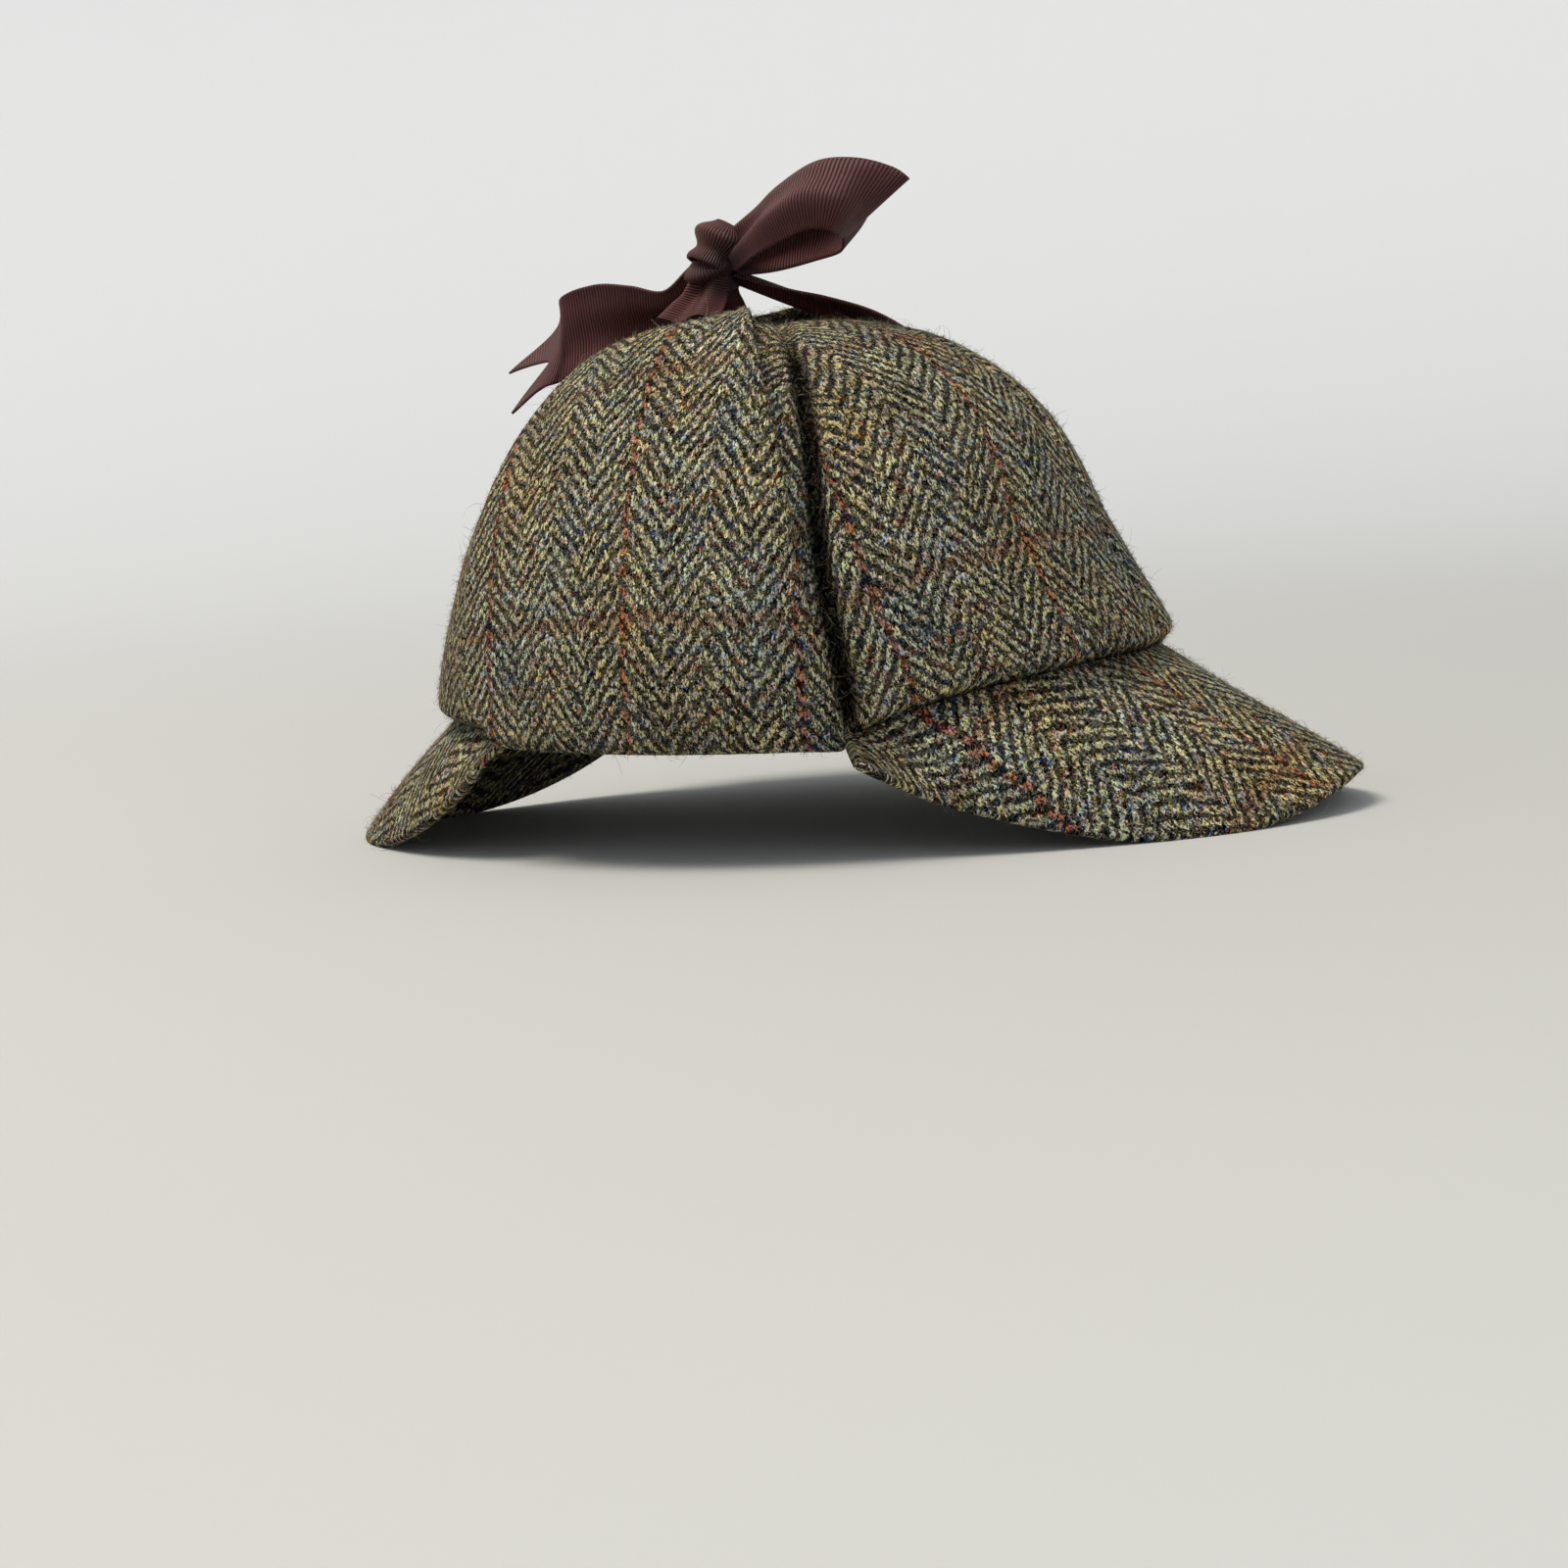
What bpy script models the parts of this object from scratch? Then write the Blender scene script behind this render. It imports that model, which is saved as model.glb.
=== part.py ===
"""A tweed deerstalker hat with its two ear flaps tied up over the crown by a ribbon bow.

Six gores make the crown. A long front peak and a short back peak droop from its lower edge,
and the hat stands on the low spots of those two peaks. Metres, +Z up, z = 0 at the surface it
stands on, front peak towards -Y, the wearer's right towards -X. Tables and meshes give places
as the hatter would: ahead of the crown's axis, aside from it, and above the crown's rim. Each
piece is then placed by HAT_PLACE, which puts the origin under the middle of the whole hat.
"""
import math
from collections import namedtuple

import bmesh
import bpy
from mathutils import Vector

# ---------------------------------------------------------------- driving sizes, metres
HAT_PLACE = (0.0, 0.0108, 0.0272)       # the crown's axis, at the height of its rim
CROWN_CLOTH = 0.0025        # tweed and its backing
PEAK_CLOTH = 0.0030         # two layers of tweed round a stiffener
FLAP_CLOTH = 0.0030         # two layers of tweed
RIBBON_CLOTH = 0.0010       # grosgrain
GAP = 0.0003                # clearance between sewn neighbours
SEAM_DEGREES = (68.5, 118.0)    # side gore seams, measured from the front
GORE_PUFF = 0.0012          # how far a gore swells between its seams
PUFF_FADE = 8               # how soon that swelling dies out at the button: 1 over this share
EDGE_ROUND = 0.0013         # rolled edges of the peaks and flaps
PEAK_TUCK = 0.0012          # how far a peak reaches in under the crown's edge
FOLD_RADIUS = 0.0046        # outside of the flap's fold round the rim
FOLD_CENTRE_OUT = 0.0009    # how far outside the crown the middle of that fold lies
FOLD_DROP = 0.0040          # how far that fold reaches below the crown's edge
FOLD_START = -125.0         # degrees; the fold runs from here to level with its middle
FLAP_TIP_ANGLE = 85.0       # seen from the front, how far round the crown the tip reaches
FLAP_HUB_HEIGHT = 0.020     # centre of that angle above the rim
KNOT_HALF = (0.0066, 0.0080, 0.0098)
KNOT_PINCH = 0.12           # how much the ribbon's last turn draws the knot's waist in
PINCH_HEIGHT = 0.25         # half the height of that waist, as a share of the knot's
TAIL_NOTCH = 0.011          # depth of the V cut in a tail's end

# ---------------------------------------------------------------- tables
CrownRow = namedtuple("CrownRow", "height front side back")
CROWN = (
    CrownRow(-0.006, 0.1044, 0.0838, 0.1018),
    CrownRow(0.010, 0.1046, 0.0846, 0.1012),
    CrownRow(0.022, 0.1020, 0.0844, 0.0992),
    CrownRow(0.037, 0.0940, 0.0815, 0.0950),
    CrownRow(0.052, 0.0863, 0.0765, 0.0900),
    CrownRow(0.066, 0.0805, 0.0700, 0.0832),
    CrownRow(0.078, 0.0738, 0.0622, 0.0750),
    CrownRow(0.088, 0.0650, 0.0538, 0.0655),
    CrownRow(0.0965, 0.0540, 0.0445, 0.0545),
    CrownRow(0.1030, 0.0415, 0.0345, 0.0425),
    CrownRow(0.1070, 0.0265, 0.0222, 0.0275),
    CrownRow(0.1088, 0.0120, 0.0100, 0.0125),
    CrownRow(0.1091, 0.0012, 0.0012, 0.0012),
)

EdgeRow = namedtuple("EdgeRow", "turn height")
CROWN_EDGE = (
    EdgeRow(0, 0.0185),
    EdgeRow(23, 0.0182),
    EdgeRow(45, 0.0150),
    EdgeRow(59, 0.0105),
    EdgeRow(68, 0.0056),
    EdgeRow(76, 0.0058),
    EdgeRow(100, 0.0068),
    EdgeRow(124, 0.0080),
    EdgeRow(134, 0.0084),
    EdgeRow(150, 0.0094),
    EdgeRow(180, 0.0102),
)

PeakRow = namedtuple("PeakRow", "turn aside ahead above camber")
FRONT_PEAK = (
    PeakRow(0, 0.0000, 0.1540, -0.0170, 0.0008),
    PeakRow(7, 0.0170, 0.1508, -0.0197, 0.0008),
    PeakRow(17, 0.0340, 0.1410, -0.0243, 0.0012),
    PeakRow(29, 0.0490, 0.1260, -0.0271, 0.0020),
    PeakRow(42, 0.0610, 0.1055, -0.0262, 0.0026),
    PeakRow(54, 0.0710, 0.0810, -0.0203, 0.0024),
    PeakRow(63, 0.0775, 0.0590, -0.0125, 0.0014),
    PeakRow(69, 0.0825, 0.0425, -0.0015, 0.0000),
)
BACK_PEAK = (
    PeakRow(180, 0.0000, -0.1325, -0.0250, 0.0012),
    PeakRow(171, 0.0140, -0.1303, -0.0261, 0.0012),
    PeakRow(160, 0.0280, -0.1220, -0.0269, 0.0014),
    PeakRow(149, 0.0420, -0.1080, -0.0242, 0.0018),
    PeakRow(139, 0.0540, -0.0930, -0.0183, 0.0018),
    PeakRow(133, 0.0610, -0.0815, -0.0111, 0.0010),
    PeakRow(129.5, 0.0655, -0.0725, -0.0030, 0.0000),
)

FlapRow = namedtuple("FlapRow", "share front back lift")
FLAP = (
    FlapRow(0.00, 0.0375, -0.0610, 0.0055),
    FlapRow(0.05, 0.0366, -0.0665, 0.0058),
    FlapRow(0.12, 0.0348, -0.0695, 0.0060),
    FlapRow(0.25, 0.0308, -0.0692, 0.0062),
    FlapRow(0.45, 0.0255, -0.0672, 0.0064),
    FlapRow(0.65, 0.0168, -0.0615, 0.0066),
    FlapRow(0.80, 0.0085, -0.0510, 0.0066),
    FlapRow(0.92, 0.0012, -0.0385, 0.0062),
    FlapRow(1.00, -0.0035, -0.0290, 0.0056),
)

KNOT_CENTRE = (0.0, 0.0155, 0.1280)     # from the crown's axis at its rim
# ribbon rows are measured from this place in the knot; the wide_ columns point across the ribbon
BOW_PLACE = (0.0, 0.0165, 0.1268)
RibbonRow = namedtuple("RibbonRow", "ahead right up width wide_ahead wide_right wide_up")
LOOP_RIGHT = (
    RibbonRow(0.0090, 0.0020, 0.0040, 0.013, 0.1, 0.5, -0.85),
    RibbonRow(0.0150, 0.0060, 0.0072, 0.0145, 0.0, 0.6, -0.80),
    RibbonRow(0.0230, 0.0090, 0.0112, 0.0185, 0.0, 0.62, -0.78),
    RibbonRow(0.0330, 0.0100, 0.0150, 0.0225, -0.1, 0.6, -0.78),
    RibbonRow(0.0410, 0.0095, 0.0150, 0.0235, -0.3, 0.5, -0.80),
    RibbonRow(0.0465, 0.0065, 0.0130, 0.0235, -0.60, 0.3, -0.72),
    RibbonRow(0.0485, 0.0020, 0.0112, 0.0235, -0.78, 0.1, -0.60),
    RibbonRow(0.0460, -0.0030, 0.0115, 0.0235, -0.70, 0.15, -0.68),
    RibbonRow(0.0400, -0.0055, 0.0120, 0.0235, -0.45, 0.4, -0.80),
    RibbonRow(0.0300, -0.0050, 0.0108, 0.022, -0.2, 0.5, -0.85),
    RibbonRow(0.0200, -0.0030, 0.0070, 0.018, -0.1, 0.5, -0.85),
    RibbonRow(0.0105, -0.0010, 0.0020, 0.012, 0.0, 0.5, -0.85),
)
LOOP_LEFT = (
    RibbonRow(0.0048, -0.0070, 0.0029, 0.011, 0.15, 0.3, -0.94),
    RibbonRow(0.0115, -0.0135, 0.0078, 0.014, 0.20, 0.45, -0.87),
    RibbonRow(0.0180, -0.0210, 0.0120, 0.018, 0.25, 0.6, -0.76),
    RibbonRow(0.0230, -0.0275, 0.0145, 0.0220, 0.25, 0.6, -0.76),
    RibbonRow(0.0250, -0.0320, 0.0145, 0.0225, 0.15, 0.7, -0.70),
    RibbonRow(0.0235, -0.0345, 0.0130, 0.0225, 0.10, 0.7, -0.70),
    RibbonRow(0.0200, -0.0325, 0.0112, 0.0225, 0.15, 0.65, -0.74),
    RibbonRow(0.0150, -0.0265, 0.0088, 0.0210, 0.20, 0.55, -0.82),
    RibbonRow(0.0095, -0.0185, 0.0052, 0.016, 0.20, 0.45, -0.87),
    RibbonRow(0.0018, -0.0080, -0.0009, 0.011, 0.15, 0.3, -0.94),
)
TAIL_BACK = (
    RibbonRow(-0.0076, -0.0006, -0.0060, 0.010, -0.30, -0.60, -0.75),
    RibbonRow(-0.0150, -0.0030, -0.0115, 0.017, -0.28, -0.80, -0.52),
    RibbonRow(-0.0265, -0.0040, -0.0132, 0.0205, -0.16, -0.47, -0.86),
    RibbonRow(-0.0370, -0.0045, -0.0137, 0.0220, 0.0, -0.10, -1.0),
    RibbonRow(-0.0470, -0.0045, -0.0165, 0.0230, 0.03, 0.10, -1.0),
    RibbonRow(-0.0520, -0.0042, -0.0220, 0.0235, 0.03, 0.72, -0.70),
    RibbonRow(-0.0645, -0.0040, -0.0308, 0.0235, 0.34, 0.81, -0.48),
)
TAIL_FRONT = (
    RibbonRow(0.0072, -0.0039, -0.0050, 0.010, -0.21, -0.91, -0.30),
    RibbonRow(0.0145, -0.0075, -0.0078, 0.014, -0.21, -0.91, -0.30),
    RibbonRow(0.0205, -0.0130, -0.0108, 0.018, -0.21, -0.91, -0.30),
    RibbonRow(0.0265, -0.0200, -0.0142, 0.0205, -0.25, -0.90, -0.37),
    RibbonRow(0.0335, -0.0300, -0.0197, 0.0230, -0.35, -0.84, -0.44),
    RibbonRow(0.0395, -0.0400, -0.0272, 0.0235, -0.40, -0.74, -0.58),
    RibbonRow(0.0450, -0.0485, -0.0358, 0.0235, -0.40, -0.65, -0.68),
)
TIE_RIGHT = (
    RibbonRow(0.0000, 0.0072, -0.0138, 0.0180, 1.0, 0.0, 0.0),
    RibbonRow(0.0000, 0.0048, -0.0122, 0.0145, 1.0, 0.0, 0.0),
    RibbonRow(0.0000, 0.0024, -0.0086, 0.0100, 1.0, 0.0, 0.0),
)
TIE_LEFT = tuple(row._replace(right=-row.right) for row in TIE_RIGHT)

# ---------------------------------------------------------------- colours
TWEED = (0.115, 0.100, 0.062, 1.0)
BURGUNDY = (0.030, 0.008, 0.010, 1.0)


# ---------------------------------------------------------------- reading the tables
def smooth_row(rows, key, value):
    """The row at a value of its key column, on a smooth curve through the table's rows."""
    keys = [getattr(row, key) for row in rows]
    if keys[0] > keys[-1]:
        rows = rows[::-1]
        keys = keys[::-1]
    value = min(max(value, keys[0]), keys[-1])
    low = 0
    while low < len(keys) - 2 and value > keys[low + 1]:
        low += 1
    span = keys[low + 1] - keys[low]
    part = (value - keys[low]) / span
    return type(rows[0])(*(
        hermite(column, keys, low, part) for column in zip(*rows)))


def slope_at(column, keys, index):
    """Slope of a table column at one of its rows."""
    before = max(index - 1, 0)
    after = min(index + 1, len(keys) - 1)
    return (column[after] - column[before]) / (keys[after] - keys[before])


def hermite(column, keys, low, part):
    """Value of a column a part of the way from row low to the next."""
    span = keys[low + 1] - keys[low]
    start = slope_at(column, keys, low) * span
    end = slope_at(column, keys, low + 1) * span
    square = part * part
    cube = square * part
    return ((2 * cube - 3 * square + 1) * column[low] + (cube - 2 * square + part) * start
            + (3 * square - 2 * cube) * column[low + 1] + (cube - square) * end)


def numbered(rows, width=1.0):
    """The rows with a column that runs evenly from 0 to width."""
    Numbered = namedtuple("Numbered", ("share",) + rows[0]._fields)
    last = len(rows) - 1
    return tuple(Numbered(width * index / last, *row) for index, row in enumerate(rows))


CROWN_BY_SHARE = numbered(CROWN)


# ---------------------------------------------------------------- crown surface
def crown_share(height):
    """Share of the way up the crown's table at which it has this height."""
    low, high = 0.0, 1.0
    for _ in range(30):
        middle = (low + high) / 2
        if smooth_row(CROWN_BY_SHARE, "share", middle).height < height:
            low = middle
        else:
            high = middle
    return low


def crown_on(turn, share):
    """Point on the outside of the crown; turn is in degrees from the front, right is plus."""
    row = smooth_row(CROWN_BY_SHARE, "share", share)
    angle = math.radians(turn)
    length = row.front if math.cos(angle) > 0 else row.back
    return Vector((-row.side * math.sin(angle), -length * math.cos(angle), row.height))


def crown_out(turn, share):
    """Direction out of the crown's surface."""
    step = 0.004
    up = crown_on(turn, min(share + step, 1.0)) - crown_on(turn, max(share - step, 0.0))
    along = crown_on(turn + 1.0, share) - crown_on(turn - 1.0, share)
    return up.cross(along).normalized()


def crown_edge(turn):
    """Height of the crown's lower edge above the rim."""
    return smooth_row(CROWN_EDGE, "turn", abs((turn + 180.0) % 360.0 - 180.0)).height


def crown_point(turn, share, lift):
    return crown_on(turn, share) + crown_out(turn, share) * lift


# ---------------------------------------------------------------- making objects
def material(name, colour, roughness):
    cloth = bpy.data.materials.new(name)
    cloth.use_nodes = True
    shader = cloth.node_tree.nodes["Principled BSDF"]
    shader.inputs["Base Color"].default_value = colour
    shader.inputs["Roughness"].default_value = roughness
    shader.inputs["Metallic"].default_value = 0.0
    return cloth


def shaped_sheet(name, columns, rows, surface, thickness, cloth, centred=False):
    """A grid bent to surface(across, along), both 0 to 1, and given the cloth's thickness."""
    mesh = bpy.data.meshes.new(name)
    form = bmesh.new()
    bmesh.ops.create_grid(form, x_segments=columns, y_segments=rows, size=0.5)
    for vertex in form.verts:
        vertex.co = surface(vertex.co.x + 0.5, vertex.co.y + 0.5)
    form.to_mesh(mesh)
    form.free()
    mesh.shade_smooth()
    mesh.materials.append(cloth)
    piece = bpy.data.objects.new(name, mesh)
    piece.location = HAT_PLACE
    bpy.context.scene.collection.objects.link(piece)
    wall = piece.modifiers.new("cloth", 'SOLIDIFY')
    wall.thickness = thickness
    wall.offset = 0.0 if centred else -1.0
    return piece


def round_edges(piece, radius):
    bevel = piece.modifiers.new("rolled edge", 'BEVEL')
    bevel.width = radius
    bevel.segments = 2
    bevel.limit_method = 'ANGLE'
    bevel.angle_limit = math.radians(55)


def floor_cutter():
    """A block under z = 0, which flattens the cloth where the hat stands."""
    mesh = bpy.data.meshes.new("floor_cutter")
    form = bmesh.new()
    bmesh.ops.create_cube(form, size=0.5)
    bmesh.ops.translate(form, verts=form.verts, vec=(0, 0, -0.25))
    form.to_mesh(mesh)
    form.free()
    cutter = bpy.data.objects.new("floor_cutter", mesh)
    bpy.context.scene.collection.objects.link(cutter)
    cutter.hide_render = True
    cutter.display_type = 'WIRE'
    return cutter


def flatten_on(piece, cutter):
    cut = piece.modifiers.new("flattened where it stands", 'BOOLEAN')
    cut.operation = 'DIFFERENCE'
    cut.object = cutter


# ---------------------------------------------------------------- crown
def gore(name, start, end, cloth):
    """One gore between two seams, given in degrees from the front."""
    def surface(across, along):
        turn = end + (start - end) * across
        lowest = crown_share(crown_edge(turn))
        share = lowest + (1.0 - lowest) * along
        on = crown_on(turn, share)
        inset = math.degrees(GAP / 2 / math.hypot(on.x, on.y))
        turn = end - inset + (start - end + 2 * inset) * across
        puff = GORE_PUFF * math.sin(math.pi * across) ** 0.5 * min(1.0, PUFF_FADE * (1 - share))
        return crown_point(turn, share, puff)

    columns = max(8, round(abs(end - start) / 6))
    return shaped_sheet(name, columns, 13, surface, CROWN_CLOTH, cloth)


def crown(cloth):
    front, back = SEAM_DEGREES
    for side, sign in (("right", 1), ("left", -1)):
        for place, start, end in (("front", 0, front), ("side", front, back), ("back", back, 180)):
            bounds = sorted((sign * start, sign * end))
            gore(f"crown_{place}_{side}", bounds[0], bounds[1], cloth)


# ---------------------------------------------------------------- peaks
def peak(name, rows, columns, depth_rows, cloth):
    """A peak from under the crown's edge out to the curve in its table."""
    middle = rows[0].turn
    spread = abs(rows[-1].turn - middle)
    mirrored = [row._replace(turn=2 * middle - row.turn, aside=-row.aside) for row in rows[:0:-1]]
    whole = (*mirrored, *rows)

    def surface(across, along):
        turn = middle + spread * (2 * across - 1)
        row = smooth_row(whole, "turn", turn)
        share = crown_share(crown_edge(turn) - GAP)
        inner = crown_point(turn, share, -PEAK_TUCK)
        inner.z -= GAP
        outer = Vector((-row.aside, -row.ahead, row.above))
        slope = (outer - inner).normalized()
        out = crown_out(turn, share)
        rise = (out - slope * out.dot(slope)).normalized()
        return inner.lerp(outer, along) + rise * (4 * along * (1 - along) * row.camber)

    piece = shaped_sheet(name, columns, depth_rows, surface, PEAK_CLOTH, cloth)
    round_edges(piece, EDGE_ROUND)
    return piece


# ---------------------------------------------------------------- ear flaps
def on_section(ahead, angle):
    """Turn and share of the crown's point in the plane ahead, at an angle round its hub."""
    low, high = 0.0, 1.0
    for _ in range(30):
        middle = (low + high) / 2
        row = smooth_row(CROWN_BY_SHARE, "share", middle)
        length = row.front if ahead > 0 else row.back
        if abs(ahead) >= length:
            high = middle
            continue
        aside = row.side * math.sqrt(1 - (ahead / length) ** 2)
        if math.atan2(row.height - FLAP_HUB_HEIGHT, aside) < angle:
            low = middle
        else:
            high = middle
    row = smooth_row(CROWN_BY_SHARE, "share", low)
    length = row.front if ahead > 0 else row.back
    return math.degrees(math.acos(max(-1.0, min(1.0, ahead / length)))), low


def ear_flap(name, side, cloth):
    """A flap folded up round the rim; side is 1 on the wearer's right and -1 on the left."""
    fold_rows = 4
    face_rows = 15
    rows = fold_rows + face_rows
    lift_at_fold = FLAP[0].lift

    def surface(across, along):
        step = along * rows
        across = 1 - across if side < 0 else across
        face = max(0.0, (step - fold_rows) / face_rows)
        row = smooth_row(FLAP, "share", face)
        ahead = row.back + (row.front - row.back) * across
        low_turn, low_share = on_section(ahead, rim_angle(ahead))
        if step < fold_rows:
            swing = math.radians(FOLD_START * (1 - step / fold_rows))
            height = fold_height(ahead) + FOLD_RADIUS * math.sin(swing)
            lift = FOLD_CENTRE_OUT + (lift_at_fold - FOLD_CENTRE_OUT) * math.cos(swing)
            point = crown_point(low_turn, crown_share(height), lift)
        else:
            angle = rim_angle(ahead)
            angle += (math.radians(FLAP_TIP_ANGLE) - angle) * face
            turn, share = on_section(ahead, angle)
            point = crown_point(turn, share, row.lift)
        return Vector((point.x * side, point.y, point.z))

    piece = shaped_sheet(name, 12, rows, surface, FLAP_CLOTH, cloth)
    round_edges(piece, EDGE_ROUND)
    return piece


def fold_height(ahead):
    """Height of the centre of the flap's fold above the rim."""
    row = CROWN[1]
    length = row.front if ahead > 0 else row.back
    return crown_edge(math.degrees(math.acos(ahead / length))) - FOLD_DROP + FOLD_RADIUS


def rim_angle(ahead):
    """Angle, round the hub, of the rim where the flap leaves its fold."""
    height = fold_height(ahead)
    row = smooth_row(CROWN_BY_SHARE, "share", crown_share(height))
    length = row.front if ahead > 0 else row.back
    aside = row.side * math.sqrt(1 - (ahead / length) ** 2)
    return math.atan2(height - FLAP_HUB_HEIGHT, aside)


# ---------------------------------------------------------------- ribbon
def ribbon(name, rows, steps, cloth, notch=0.0):
    """A strip of ribbon along its table's rows, with a V cut into its last end."""
    numbered_rows = numbered(rows)
    length = sum(math.dist(a[:3], b[:3]) for a, b in zip(rows, rows[1:]))

    def surface(across, along):
        across = 2 * across - 1
        share = along * (1 - notch / length * (1 - abs(across)))
        row = smooth_row(numbered_rows, "share", share)
        wide = Vector((-row.wide_right, -row.wide_ahead, row.wide_up)).normalized()
        centre = Vector(BOW_PLACE) + Vector((-row.right, -row.ahead, row.up))
        return centre + wide * (across * row.width / 2)

    return shaped_sheet(name, 4 if notch else 2, steps, surface, RIBBON_CLOTH, cloth, True)


def bow_knot(cloth):
    """The knot, a rounded bundle pinched where the ribbon goes round it."""
    mesh = bpy.data.meshes.new("bow_knot")
    form = bmesh.new()
    bmesh.ops.create_uvsphere(form, u_segments=16, v_segments=10, radius=1.0)
    for vertex in form.verts:
        pinch = 1 - KNOT_PINCH * math.exp(-(vertex.co.z / PINCH_HEIGHT) ** 2)
        vertex.co.x *= KNOT_HALF[0] * pinch
        vertex.co.y *= KNOT_HALF[1] * pinch
        vertex.co.z *= KNOT_HALF[2]
    form.to_mesh(mesh)
    form.free()
    mesh.shade_smooth()
    mesh.materials.append(cloth)
    piece = bpy.data.objects.new("bow_knot", mesh)
    piece.location = Vector(HAT_PLACE) + Vector(KNOT_CENTRE)
    bpy.context.scene.collection.objects.link(piece)


def main():
    for old in list(bpy.data.objects):
        bpy.data.objects.remove(old, do_unlink=True)
    tweed = material("tweed", TWEED, 0.95)
    grosgrain = material("grosgrain", BURGUNDY, 0.55)
    crown(tweed)
    cutter = floor_cutter()
    flatten_on(peak("front_peak", FRONT_PEAK, 28, 6, tweed), cutter)
    flatten_on(peak("back_peak", BACK_PEAK, 24, 5, tweed), cutter)
    ear_flap("ear_flap_right", 1, tweed)
    ear_flap("ear_flap_left", -1, tweed)
    bow_knot(grosgrain)
    ribbon("bow_loop_right", LOOP_RIGHT, 26, grosgrain)
    ribbon("bow_loop_left", LOOP_LEFT, 22, grosgrain)
    ribbon("bow_tail_back", TAIL_BACK, 14, grosgrain, TAIL_NOTCH)
    ribbon("bow_tail_front", TAIL_FRONT, 14, grosgrain, TAIL_NOTCH)
    ribbon("tie_right", TIE_RIGHT, 4, grosgrain)
    ribbon("tie_left", TIE_LEFT, 4, grosgrain)


main()
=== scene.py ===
"""Dresses the deerstalker: fine tweed crown, peaks and flaps, the grosgrain bow, and a stage.

The shapes follow the hat's own tables: places are given ahead of the crown's axis, aside from it
and above the crown's rim, and HAT_PLACE puts them in the frame. Every panel carries a flat map
in metres, called "cut", as it lay on the cloth it was cut from, and the weave is drawn on that.
A gore's second map, "sunk", says how deep in a seam each of its points lies, from 0 to 1, and the
tweed is darkened by it with painted shade in the seams.
"""
import math
from collections import namedtuple
from functools import lru_cache

import bmesh
import bpy
import numpy as np
from mathutils import Matrix, Vector, noise


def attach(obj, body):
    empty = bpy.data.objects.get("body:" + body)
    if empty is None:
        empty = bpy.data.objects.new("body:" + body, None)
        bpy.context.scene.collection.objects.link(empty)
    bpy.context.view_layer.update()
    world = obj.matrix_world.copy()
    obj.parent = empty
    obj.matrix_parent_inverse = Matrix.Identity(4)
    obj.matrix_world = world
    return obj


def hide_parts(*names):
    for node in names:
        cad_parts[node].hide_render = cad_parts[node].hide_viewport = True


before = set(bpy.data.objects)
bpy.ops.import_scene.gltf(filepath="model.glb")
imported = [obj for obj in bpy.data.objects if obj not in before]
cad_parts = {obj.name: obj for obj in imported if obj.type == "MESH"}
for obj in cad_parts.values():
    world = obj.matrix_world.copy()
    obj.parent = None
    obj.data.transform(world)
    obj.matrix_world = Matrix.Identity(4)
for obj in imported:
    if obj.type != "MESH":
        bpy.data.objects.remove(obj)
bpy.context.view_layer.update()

bl_info = {
    "name": "Deerstalker hat",
    "version": (1, 0),
    "blender": (4, 5, 0),
    "location": "View3D > Sidebar > Hat",
    "description": "Makes a tweed deerstalker with its flaps tied up in a ribbon bow",
    "category": "Object",
}

# ---------------------------------------------------------------- sizes, metres
HAT_PLACE = Vector((0.0, 0.0108, 0.0272))   # the crown's axis, at the height of its rim
CROWN_CLOTH = 0.0022
PEAK_CLOTH = 0.0030
FLAP_CLOTH = 0.0030
RIBBON_CLOTH = 0.0007
PEAK_GAP = 0.0003           # between the crown's lower edge and a peak's sewn edge
SEAM_DEGREES = (68.5, 118.0)    # side gore seams, measured from the front
GORE_PUFF = 0.0013          # how far a gore swells between its seams
PUFF_FADE = 0.125           # the share of the way down from the top over which that begins
SEAM_SINK = 0.0021          # how far a gore's edge is drawn in at a seam
SEAM_ROLL = 0.0020          # how soon, going in from the seam, that ends
SEAM_FADE = 0.020           # seams get shallower where a gore is narrower than this
SEAM_LAP = 0.0009           # how far the crown's edge rolls down over a peak's edge
CREASE_SINK = 0.0040        # how much deeper the seam beside an ear flap goes
CREASE_ROLL = 0.0024        # how soon, going away from the seam, that ends
CREASE_START = 0.008        # how far above the crown's edge it is at full depth
CREASE_END = 0.86           # the share of the crown's height where it ends
CREASE_FADE = 0.26          # the share of that height over which it gets shallower
EDGE_TUCK = 0.0036          # how far the crown's lower edge turns in over a peak
EDGE_ROLL = 0.0015          # how soon, going up from the edge, that ends
PEAK_TUCK = 0.0048          # how far inside the crown's face a peak's sewn edge lies
SHADE_START = 0.0012        # painted shade: cloth drawn in this far begins to darken
SHADE_RANGE = 0.0021        # and this much further down it is as dark as its painted shade gets
CLOTH_WAVE = 0.00045        # height of the soft unevenness of steamed tweed
CLOTH_WAVE_SIZE = 0.035     # and its width
FOLD_RADIUS = 0.0046        # outside of the flap's fold round the rim
FOLD_CENTRE_OUT = 0.0009    # from the crown's face to the middle of that fold
FOLD_DROP = 0.0040          # how far the fold hangs below the crown's edge
FOLD_START = -125.0         # degrees round the fold, from level, where the flap's cloth starts
FLAP_HUB_HEIGHT = 0.020     # height of the line round which the way up a flap is measured
FLAP_TIP_ANGLE = 85.0       # degrees round that line at a flap's tip
FLAP_LINE = 0.0276          # place, along the hat, of a rust line on each flap
TIP_START = 0.86            # where, on its way up, a flap starts to thin towards its tip
TIP_DROP = 0.0024           # how much closer to the crown its tip lies
TIP_THINNING = 0.45         # the share of its thickness that is gone there
FLARE_SHARE = 0.3           # the share of a flap's width, at its front, that stands off the crown
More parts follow.
